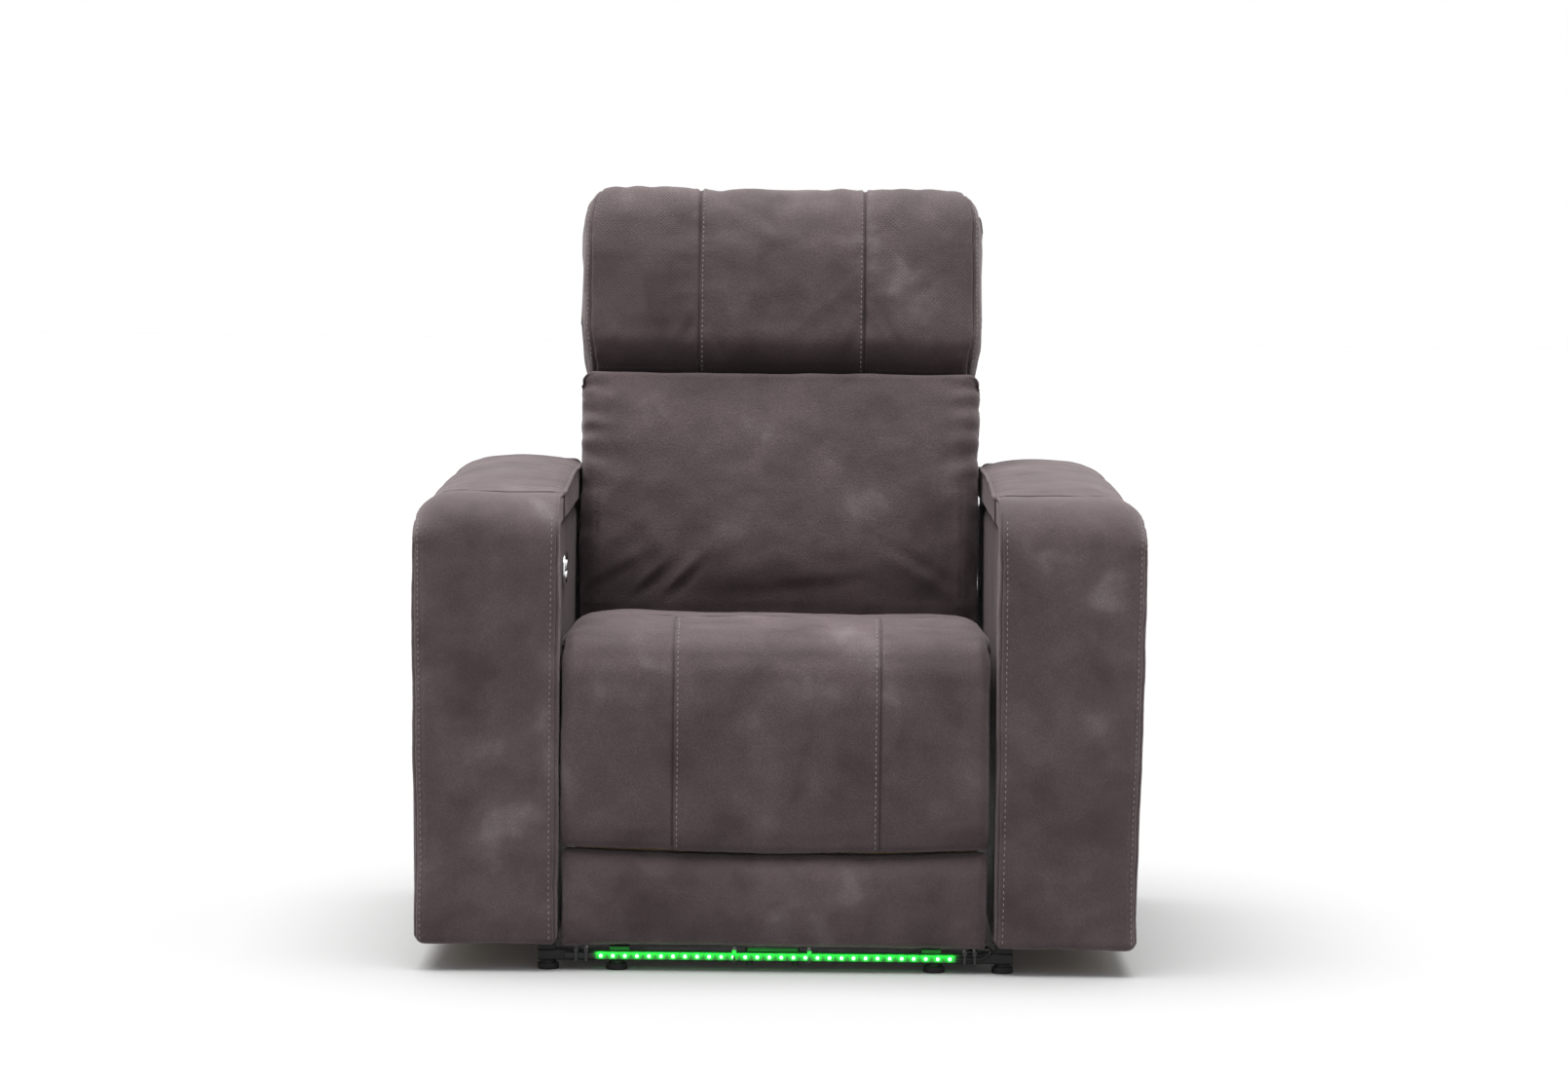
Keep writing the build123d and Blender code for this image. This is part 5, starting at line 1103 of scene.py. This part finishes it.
# ---------------------------------------------------------------- headrest
head_loop = rounded_loop([
    (347, 15, 30), (380, -1, 50), (450, -6, 200), (520, -8, 200), (585, 1, 110), (623, 24, 44), (632, 74, 46), (616, 130, 80), (582, 194, 120),
    (496, 252, 160), (396, 297, 14), (377, 200, 60), (366, 124, 10), (344, 112, 14), (328, 84, 34), (327, 44, 26),
], 4.0, soften=5)


def head_round(loop, n):
    up = smooth(0.05, 1.0, n[:, 0])
    fr = smooth(0.2, 0.9, -n[:, 1]) * (1 - up)
    down = smooth(0.3, 0.9, -n[:, 0]) * (loop[:, 1] < 60)
    return 14 + 8 * fr + 27 * up + 8 * down


HEAD_L, HEAD_R = -124.0, 123.0
head = Pad(head_loop, -297.0, 296.5, head_round, head_round, place_back,
           [(380, 60), (470, 110), (570, 90)], 6.0, (HEAD_L, HEAD_R), bulge=(4.0, 4.0), turns=9, marks=(1.02, 1.02))
hold = np.zeros(head.A.shape)
hold[head.kind == 0] = 0.6
hold = np.maximum(hold, 1.0 * ((head.Q[..., 0] < 372) * (head.Q[..., 1] > 60) + (head.Q[..., 0] < 356)))
for s in (HEAD_L, HEAD_R):
    hold = np.maximum(hold, np.exp(-(((head.A - s) / 4.0) ** 2)) * (head.Q[..., 1] < 150))
puff(head, hold, 5.0, 8.0, shrink=-0.025)
X = head.P[..., 0] / MM
W, Nn = head.Q[..., 0], head.Q[..., 1]
face = smooth(0.1, 0.7, -head.normals()[..., 1])
for s in (HEAD_L, HEAD_R):
    head.seam(np.where((Nn < 50) | (W > 400), head.A - s, 99.0), 2.3, 2.3, 1.0, 0.9)
    # the panels pinch in at the seam over the top
    head.push(-2.2 * np.exp(-(((head.A - s) / 22) ** 2)) * smooth(600, 640, W))
# side seams, where the rounded edge meets the gusset
hr = head_round(head.loop, head.ln)
head.edge_seam((1.02, 1.02), (hr, hr), head.Q[..., 1] < 190, depth=2.0, width=2.1, dark=0.95, shoulder=0.6)
# painted shade underneath, where the roll turns in
head.dark = np.maximum(head.dark, 0.88 * smooth(396, 352, W) * smooth(80, 20, Nn))
# ripples along the top edge, where the panel is eased over the corner
rip = np.zeros_like(X)
for x0, amp, wide in ((-240, -1.8, 9), (-222, 1.0, 11), (-200, -1.3, 9), (-180, 0.8, 14), (-96, -2.6, 12), (-60, 1.0, 30), (62, -2.4, 13), (88, 1.2, 14),
                      (160, -1.2, 9), (180, 0.9, 10), (204, -1.3, 9), (225, 0.9, 12), (252, -1.0, 10)):
    rip += amp * np.exp(-(((X - x0) / wide) ** 2))
head.push(rip * smooth(575, 640, W) * smooth(150, 60, Nn))
# short pulls off the seams and low corners
pull = np.zeros_like(X)
for x0, w0, ang, length, amp, wide in ((-150, 392, 62, 34, 1.6, 7), (-100, 372, 118, 36, 1.8, 8), (100, 380, 64, 40, 1.6, 8), (152, 400, 120, 36, 1.5, 7),
                                       (-262, 372, 50, 34, 1.6, 8), (262, 372, 130, 34, 1.6, 8), (60, 420, 40, 60, 1.2, 12), (-40, 560, 150, 60, 1.0, 14), (200, 460, 30, 50, 1.0, 12)):
    ca, sa = math.cos(math.radians(ang)), math.sin(math.radians(ang))
    u = (X - x0) * ca + (W - w0) * sa
    v = -(X - x0) * sa + (W - w0) * ca
    pull += amp * (np.exp(-(((v - wide * 0.6) / wide) ** 2)) - np.exp(-(((v + wide * 0.6) / wide) ** 2))) * np.exp(-((u / length) ** 2))
head.push(pull * face)
head.crumple(61, 1.6, 0.45)
# drawn in a little low down and over the top
head.P[..., 0] -= np.sign(X) * MM * (6.0 * smooth(415, 345, W) + 5.0 * smooth(560, 632, W) ** 1.3) * smooth(200, 285, np.abs(X)) * (Nn < 250)
# keep the roll clear of the lids when the back is down
head.P[..., 0] = np.where(W < 420, np.clip(head.P[..., 0], -0.2985, 0.2985), np.clip(head.P[..., 0], -0.3040, 0.3040))
hd = finish_pad("headrest_cover", head, HIDE_PERF, "headrest", ("headrest_pad", "headrest_rear_pad"))
ax = head.A
perf = smooth(126 + 8, 126 + 13, np.abs(ax)) * smooth(283, 277, np.abs(ax)) * smooth(150, 110, Nn) * smooth(335, 352, W)
attribute(hd, "perf", perf.reshape(-1))


def ring_line(pad, i, keep):
    P, N = pad.P[i], pad.normals()[i]
    ok = np.array([keep(q) for q in pad.Q[i]])
    k = np.where(ok)[0]
    cut = np.where(np.diff(k) > 1)[0]
    if len(cut) == 1:
        k = np.concatenate([k[cut[0] + 1:], k[: cut[0] + 1]])
    return P[k], N[k]


lines = []
for a in (HEAD_L + 5.0, HEAD_R - 5.0):
    lines.append(run_on(head, a, lambda q, n: q[1] < 95 and not (q[0] < 345 and q[1] > 30)))
for end in (0, 1):
    lines.append(ring_line(head, head.edge_row(end, 0.80), lambda q: q[1] < 150 and q[0] > 350))
stitches("headrest_stitches", lines, THREAD, "headrest", pitch=7.6, length=4.9)

# ---------------------------------------------------------------- arms
def mirror_pad(pad, sgn):
    if sgn < 0:
        pad.P = pad.P * np.array([-1, 1, 1])
        pad.flip = -pad.flip
    return pad


fascia_corners = [
    (0, 38, 9), (0, 659, 62), (131.4, 656.5, 3.5), (131.4, 619.5, 3), (57, 617, 4), (57, 38, 5),
]


def fascia_out(loop, n):
    hid = np.maximum(smooth(0.2, 0.8, n[:, 0]) * (loop[:, 0] < 140), smooth(0.5, 0.9, -n[:, 1]) * (loop[:, 1] > 300))
    return 15 * (1 - hid) + 1.5 * hid


def fascia_in(loop, n):
    hid = np.maximum(smooth(0.2, 0.8, n[:, 0]) * (loop[:, 0] < 140), smooth(0.5, 0.9, -n[:, 1]) * (loop[:, 1] > 300))
    return 11 * (1 - hid) + 1.5 * hid


def rear_out(loop, n):
    hid = np.maximum(smooth(0.2, 0.8, -n[:, 0]), smooth(0.5, 0.9, -n[:, 1]) * (loop[:, 1] > 300))
    return 15 * (1 - hid) + 1.5 * hid


def shoulder(P, start=452.0, size=60.0):
    """Rounds the outer top corner of an arm, and draws its outer side in towards the floor."""
    Xa, Z = np.abs(P[..., 0]) / MM, P[..., 2] / MM
    q = np.clip((Xa - start) / size, 0, 0.93)
    P[..., 2] -= MM * size * (1 - np.sqrt(1 - q * q)) * smooth(585, 655, Z) ** 0.8
    P[..., 0] -= np.sign(P[..., 0]) * MM * (8.0 * smooth(560, 30, Z) - 1.8) * smooth(440, 505, Xa)


for sgn, side in ((-1, "left"), (1, "right")):
    loop = rounded_loop(fascia_corners, 4.0)
    f = Pad(loop, 302.2, 505.0, fascia_in, fascia_out, place_x, [(28, 66), (28, 590), (45, 634), (110, 638)], 6.5,
            bulge=(0.0, 0.0), turns=7, marks=(0.78, 0.55))
    hold = np.zeros(f.A.shape)
    hold[f.kind == 0] = 1
    hold = np.maximum(hold, 1.0 * (f.Q[..., 0] > 40) * (f.Q[..., 1] < 630))
    puff(f, hold, 3.5, 5.0, shrink=-0.01)
    mirror_pad(f, sgn)
    shoulder(f.P)
    f.crumple(71 + sgn, 1.2, 0.35)
    show = (f.ln[:, 0] < 0.3)[None, :] & (f.ln[:, 1] > -0.6)[None, :]
    f.edge_seam((0.78, 0.55), (fascia_in(loop, f.ln), fascia_out(loop, f.ln)), show, depth=1.3, width=1.6, dark=0.7, shoulder=0.35)
    # painted shade along the far edge of the top, where it meets the lid
    lid_edge = np.hypot(f.Q[..., 0] - 131, f.Q[..., 1] - 657.5)
    f.dark = np.maximum(f.dark, 0.3 * np.exp(-((lid_edge / 2.0) ** 2)))
    top_of = np.abs(f.P[..., 0]) / MM, f.P[..., 1] / MM + 475, f.P[..., 2] / MM
    near_top = (top_of[1] > 118) & (top_of[2] > 560)
    fascia_x = np.arange(304.0, 505.0, 4.0)
    fascia_z = np.array([max(top_of[2][near_top & (np.abs(top_of[0] - x) < 4.5)], default=600.0) for x in fascia_x])
    finish_pad(f"arm_fascia_{side}", f, HIDE, "base", ("arm_front_pads",))
    lines = []
    lines.append(ring_line(f, f.edge_row(0, 1.5), lambda q: q[0] < 30 and 44 < q[1] < 634))
    lines.append(ring_line(f, f.edge_row(1, 1.15), lambda q: q[0] < 60 and 44 < q[1] and not (q[0] > 40 and q[1] < 560)))
    stitches(f"arm_stitches_{side}", lines, THREAD, "base", pitch=8.6, length=5.2)
    fascia_pad = f

    # side panels
    x_out, x_in = 505.0 * sgn, 486.0 * sgn

    def outer_edge_a(t):
        return np.array([56.5, 38.0 + t * (614.0 - 38.0)])

    def outer_edge_b(t):
        return np.array([864.0, 38.0 + t * (614.0 - 38.0)])

    def tuck(d, z):
        return 1.8 - 8.0 * smooth(560, 30, z)

    slab(f"arm_side_outer_{side}", outer_edge_a, outer_edge_b, x_in, x_out, 7.0, HIDE, "base", ("arm_outer_pads",),
         nu=110, nv=80, bulge=2.0, seams_u=(), seed=81 + sgn, inner_r=1.0, extra=tuck)
    # piping along the top of the side, which covers the lid's hinge
    pts = np.array([[502.9 * sgn * MM, (d - 475) * MM, (618.6 + 0.3 * math.sin(d / 37)) * MM] for d in np.linspace(133, 829, 120)])
    welt(f"arm_top_piping_{side}", pts, 3.2, HIDE, "base", seed=15, taper=(5, 5))

    def inner_edge_a(t):
        return np.array([56.5, 38.0 + t * (617.3 - 38.0)])

    def inner_edge_b(t):
        return np.array([863.0, 38.0 + t * (617.3 - 38.0)])

    def top_fall(d, z):
        return 0.0 * d

    # the inner side uses the darker leather copy, which paints shade on it
    slab(f"arm_side_inner_{side}", inner_edge_a, inner_edge_b, 317.0 * sgn, 303.4 * sgn, 5.0, HIDE_SHADED, "base", ("arm_inner_pads",),
         nu=110, nv=80, bulge=0.0, seams_u=((250.0 - 58) / (863 - 58),), seed=91 + sgn, crumple=0.35, inner_r=0.8,
         extra=lambda d, z: -5.0 * smooth(596, 618, z) * smooth(300, 700, d))

    # rear pad, which runs over the top to the lid
    rear_loop = rounded_loop([(831, 621.5, 3), (831, 669, 7), (880, 665, 30), (880, 40, 10), (865.5, 38, 4), (865.5, 621.5, 3)], 4.0)
    r = Pad(rear_loop, 306.0, 504.5, 10.0, rear_out, place_x, [(872, 60), (872, 640), (840, 645)], 8.0, bulge=(0, 0), turns=7)
    mirror_pad(r, sgn)
    shoulder(r.P, 447.0, 62.0)
    r.crumple(101 + sgn, 0.9, 0.3)
    finish_pad(f"arm_rear_{side}", r, HIDE, "base", ("arm_rear_pads",))

    # ------------------------------------------------------------ lid
    lid_loop = rounded_loop([
        (300.0, 618.5, 4), (300.0, 668, 7), (318, 674, 24), (400, 676, 300), (448, 674, 60), (489, 657, 30), (498, 628, 14), (496, 622.8, 2), (487, 636.2, 2),
        (312.2, 636.2, 2), (311.5, 618.5, 4),
    ], 3.6)

    def place_lid(a, x, z):
        a = np.asarray(a, float)
        back_end = np.clip((a - 620) / 208, 0, 1) ** 2
        drop = 17.0 * np.clip(1 - (a - 132) / 330, 0, 1) ** 2 + (3.0 + 8.0 * np.exp(-(((x - 300) / 30) ** 2))) * back_end
        zz = z - drop * np.clip((z - 622) / 50, 0, 1)
        y, zz = yz(a, zz)
        return np.stack([x * MM * np.ones_like(y), y, zz], -1)

    lp = Pad(lid_loop, 132.4, 828.0, 3.0, 6.0, place_lid, [(318, 650), (470, 650)], 8.0, bulge=(0.3, 0.5), turns=6)
    hold = np.zeros(lp.A.shape)
    hold[lp.kind == 0] = 1
    hold = np.maximum(hold, 1.0 * (lp.Q[..., 1] < 640))
    hold = np.maximum(hold, np.exp(-(((lp.A - 132) / 22) ** 2)))
    hold = np.maximum(hold, np.exp(-((np.hypot(lp.Q[..., 0] - 302, lp.Q[..., 1] - 668) / 5) ** 2)))
    puff(lp, hold, 3.5, 5.0, shrink=-0.012)
    mirror_pad(lp, sgn)
    Xa = np.abs(lp.P[..., 0]) / MM
    Dd = lp.P[..., 1] / MM + 475
    topn = smooth(0.3, 0.9, lp.normals()[..., 2])
    lp.push(topn * 1.3 * noise(lp.P * np.array([1, 0.45, 1]), 60, 111 + sgn) + topn * 0.8 * noise(lp.P * np.array([1, 3.0, 1]), 120, 112 + sgn))
    lp.crumple(113 + sgn, 1.0, 0.3)
    welt_d = np.hypot(lp.Q[..., 0] - 302.0, lp.Q[..., 1] - 669.0)
    lp.dark = np.maximum(lp.dark, 0.85 * np.exp(-((np.abs(welt_d - 4.4) / 1.5) ** 2)) * (welt_d < 9))
    # painted shade on the lid's front end, where it tucks in behind the arm's front pad
    lp.dark = np.maximum(lp.dark, 0.85 * smooth(138.0, 134.0, lp.A))
    # the lid's front edge follows the top of the arm's front pad
    Xa, Dd, Zz = np.abs(lp.P[..., 0]) / MM, lp.P[..., 1] / MM + 475, lp.P[..., 2] / MM
    near_top = (Dd > 134.5) & (Dd < 142) & (Zz > 560)
    lid_z = np.array([max(Zz[near_top & (np.abs(Xa - x) < 4.5)], default=600.0) for x in fascia_x])
    step = np.clip(fascia_z - lid_z + 1.3, -6, 6)
    for _ in range(3):
        step[1:-1] = 0.25 * step[:-2] + 0.5 * step[1:-1] + 0.25 * step[2:]
    lp.P[..., 2] += MM * np.interp(Xa, fascia_x, step) * smooth(626, 645, Zz) * smooth(240, 140, Dd) * smooth(494, 470, Xa)
    lp.P[..., 0] = np.where(Xa < 310, np.sign(lp.P[..., 0]) * np.maximum(np.abs(lp.P[..., 0]), 0.2992), lp.P[..., 0])
    finish_pad(f"lid_cover_{side}", lp, HIDE, f"lid_{side}", (f"lid_pad_{side}",))
    # piping along the inner top edge of the lid
    j = int(np.argmin(np.hypot(lp.loop[:, 0] - 302.0, lp.loop[:, 1] - 667.5)))
    rows = np.where(lp.kind >= 1)[0]
    path = lp.P[rows, j] + lp.normals()[rows, j] * 0.0013
    welt(f"lid_piping_{side}", path, 2.9, HIDE, f"lid_{side}", seed=5, taper=(0, 8))
    # and on over the arm's front edge, fading into the seam
    jj = [k for k in range(len(loop)) if loop[k][1] > 560 and not (loop[k][0] > 40 and loop[k][1] < 650) and loop[k][0] < 130.5]
    i_w = f.edge_row(0, 0.72)
    P, N = ring_line(f, i_w, lambda q: q[1] > 575 and (q[0] < 40 or q[1] > 650) and q[0] < 130)
    if P[0][2] < P[-1][2]:
        P, N = P[::-1], N[::-1]
    welt(f"arm_piping_{side}", P + N * 0.0009, 2.9, HIDE, "base", seed=6, taper=(0, 70))

# ---------------------------------------------------------------- outer back
OUTER = [(872, 232), (905, 360), (930, 500), (945, 640), (950, 720), (949, 781)]


def outer_at(z, off=0.0):
    zs, ds = [p[1] for p in OUTER], [p[0] for p in OUTER]
    zz = np.linspace(232, 781, 60)
    dd = np.interp(zz, zs, ds)
    for _ in range(40):
        dd[1:-1] = 0.5 * dd[1:-1] + 0.25 * (dd[:-2] + dd[2:])
    return np.interp(z, zz, dd) - off


zz = np.linspace(234, 779, 100)
back_pts = [(float(outer_at(z)), float(z), 0) for z in zz] + [(float(outer_at(z, 14)), float(z), 0) for z in zz[::-1]]
back_pts[0] = (*back_pts[0][:2], 5)
back_pts[99] = (*back_pts[99][:2], 7)
back_pts[100] = (*back_pts[100][:2], 5)
back_pts[-1] = (*back_pts[-1][:2], 5)
ob_loop = rounded_loop(back_pts, 5.0)
rear = Pad(ob_loop, -291.0, 291.0, 6.5, 6.5, place_x, [(float(outer_at(z, 7)), float(z)) for z in np.linspace(245, 770, 30)], 7.0,
           (-150.0, 150.0), bulge=(0, 0), turns=5)
rear_face = rear.normals()[..., 1] > 0.5
Zr = rear.P[..., 2] / MM
Xr = rear.P[..., 0] / MM
for s in (-150.0, 150.0):
    rear.seam(np.where(rear_face, rear.A - s, 99.0), 1.6, 2.2, 0.75, 0.4)
rear.seam(np.where(rear_face, Zr - 252, 99.0), 1.0, 2.2, 0.45, 0.2)
rear.push(np.where(rear_face, 1.5 * noise(rear.P, 150, 121), 0))
rear.crumple(122, 1.0, 0.3)
rear.P[..., 1] = np.minimum(rear.P[..., 1], 0.4757)
finish_pad("outer_back_cover", rear, HIDE, "back", ("back_panel",))
lines = []
for a in (-150 + 7.0, -150 - 7.0, 150 - 7.0, 150 + 7.0):
    i = int(np.argmin(np.abs(rear.A.mean(1) - a) + (rear.kind != 2) * 1e3))
    nn = rear.normals()[i]
    k = np.where((nn[:, 1] > 0.5))[0]
    cut = np.where(np.diff(k) > 1)[0]
    if len(cut):
        k = np.concatenate([k[cut[0] + 1:], k[: cut[0] + 1]])
    lines.append((rear.P[i][k] + np.array([(a - rear.A[i].mean()) * MM, 0, 0]), nn[k]))
stitches("outer_back_stitches", lines, THREAD, "back")

for sgn, side in ((-1, "left"), (1, "right")):
    def edge_front(t):
        d, z = bk(-98 + t * 452, 121.5)
        return np.array([float(d), float(z)])

    def edge_rear(t):
        z = 240 + t * (772 - 240)
        return np.array([float(outer_at(z, 15.5)), z])

    slab(f"back_side_cover_{side}", edge_front, edge_rear, 277 * sgn, 290.5 * sgn, 6.0, HIDE, "back", ("back_side_pads",),
         nu=50, nv=80, bulge=1.5, seed=131 + sgn, crumple=0.8, limit=292.5 * sgn)
    # piping where the side meets the rear panel
    pts = np.array([[290.0 * sgn * MM, (float(outer_at(z, 14.6)) - 475) * MM, z * MM] for z in np.linspace(240, 775, 110)])
    welt(f"outer_back_piping_{side}", pts, 2.3, HIDE, "back", seed=8 + sgn, taper=(6, 6))

# gusset of soft leather between the outer back and the headrest's rear pad
U_pts = []
for s in np.linspace(0, 1, 30):
    U_pts.append(("l", 1 - s))
low_f, low_r = bk(357, 121), (934.0, 769.0)
top_f, top_r = bk(374, 118), (942.0, 797.0)
path = []
for s in np.linspace(0, 1, 26):
    path.append((-281.0, 1, s))
for s in np.linspace(-1, 1, 60)[1:-1]:
    path.append((281.0 * s, 0, 1.0))
for s in np.linspace(1, 0, 26):
    path.append((281.0, 1, s))
rowsB = []
levels = np.linspace(-0.45, 1.45, 15)
for (x, on_side, s) in path:
    lo_d = low_f[0] + (low_r[0] - low_f[0]) * s
    lo_z = low_f[1] + (low_r[1] - low_f[1]) * s
    hi_d = top_f[0] + (top_r[0] - top_f[0]) * s
    hi_z = top_f[1] + (top_r[1] - top_f[1]) * s
    row = []
    for q in levels:
        sag = 5.0 * math.sin(math.pi * min(1, max(0, q))) * (0.3 + 0.7 * s)
        d, z = lo_d + (hi_d - lo_d) * q, lo_z + (hi_z - lo_z) * q
        if s > 0.999:
            d -= sag
        xx = x - math.copysign(sag, x) * (1 if on_side else 0)
        row.append((xx * MM, (d - 475) * MM, z * MM))
    rowsB.append(row)
B = np.array(rowsB)
B[..., 1] = np.minimum(B[..., 1], 0.4700)
nB = B.shape
thick = np.array([0, 0, 0])
inner_sheet = B.copy()
gi, gj = np.gradient(B, axis=0), np.gradient(B, axis=1)
nn = np.cross(gi, gj)
nn /= np.maximum(np.linalg.norm(nn, axis=2, keepdims=True), 1e-9)
B = B + nn * (0.0012 * noise(B, 30, 141) + 0.0008 * noise(B, 14, 142))[..., None]
inner_sheet = B - nn * 0.0016 * (1 if (nn[40, 7] @ np.array([0, 1, 0])) > 0 else -1)
idx = np.arange(nB[0] * nB[1]).reshape(nB[0], nB[1])
q = np.stack([idx[:-1, :-1], idx[1:, :-1], idx[1:, 1:], idx[:-1, 1:]], -1).reshape(-1, 4)
faces = q.tolist() + (q[:, ::-1] + idx.size).tolist()
ring = list(idx[:, 0]) + list(idx[-1, 1:]) + list(idx[-2::-1, -1]) + list(idx[0, -2:0:-1])
for p, n in zip(ring, ring[1:] + ring[:1]):
    faces.append([int(n), int(p), int(p + idx.size), int(n + idx.size)])
bel = outward(make_mesh("headrest_gusset", np.concatenate([B.reshape(-1, 3), inner_sheet.reshape(-1, 3)]), faces))
attribute(bel, "seam", np.zeros(2 * idx.size))
rest(bel)
bel.data.materials.append(HIDE)
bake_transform(bel)

# ---------------------------------------------------------------- floor and light
me = bpy.data.meshes.new("floor")
R = 30.0
me.from_pydata([(-R, -R, 0), (R, -R, 0), (R, R, 0), (-R, R, 0)], [], [(0, 1, 2, 3)])
floor = bpy.data.objects.new("floor", me)
scene.collection.objects.link(floor)
fm, ft, fb = material("studio_floor")
fb.inputs["Base Color"].default_value = (0.344, 0.344, 0.344, 1)
fb.inputs["Emission Color"].default_value = (1, 1, 1, 1)
fb.inputs["Emission Strength"].default_value = 0.012
fb.inputs["Roughness"].default_value = 0.9
fb.inputs["Specular IOR Level"].default_value = 0.05
me.materials.append(fm)

world = bpy.data.worlds.new("studio")
scene.world = world
world.use_nodes = True
wt = world.node_tree
bg = wt.nodes["Background"]
tc = node(wt, "ShaderNodeTexCoord")
sep = node(wt, "ShaderNodeSeparateXYZ")
wt.links.new(tc.outputs["Generated"], sep.inputs[0])
wt.links.new(ramp(wt, sep.outputs[2], [(0.0, (1.0, 1.0, 1.0)), (0.12, (1.0, 1.0, 1.0)), (0.9, (1.1, 1.1, 1.1))]), bg.inputs["Color"])
bg.inputs["Strength"].default_value = 1.0


def area(name, loc, aim, size, power, colour=(1, 1, 1)):
    d = bpy.data.lights.new(name, "AREA")
    d.shape = "RECTANGLE"
    d.size, d.size_y = size
    d.energy = power
    d.color = colour
    o = bpy.data.objects.new(name, d)
    scene.collection.objects.link(o)
    o.location = loc
    o.rotation_euler = (Vector(aim) - Vector(loc)).to_track_quat("-Z", "Y").to_euler()
    return o


sun = bpy.data.lights.new("key_soft_top", "SUN")
sun.energy = 6.1
sun.angle = math.radians(62)
so = bpy.data.objects.new("key_soft_top", sun)
scene.collection.objects.link(so)
so.rotation_euler = Vector((-0.10, -0.03, 1.0)).to_track_quat("Z", "Y").to_euler()
d = bpy.data.lights.new("strip_glow", "AREA")
d.shape = "RECTANGLE"
d.size = 0.50
d.size_y = 0.008
d.energy = 0.10
d.spread = math.radians(52)
d.color = (0.01, 1.0, 0.06)
o = bpy.data.objects.new("strip_glow", d)
scene.collection.objects.link(o)
o.location = (0.0, (7 - 475) * MM, 0.027)
o.rotation_euler = Vector((0.0, -1.0, 0.16)).to_track_quat("Z", "Y").to_euler()

scene.view_settings.view_transform = "Standard"
scene.view_settings.look = "None"
scene.view_settings.exposure = 0.0
scene.view_settings.gamma = 1.0
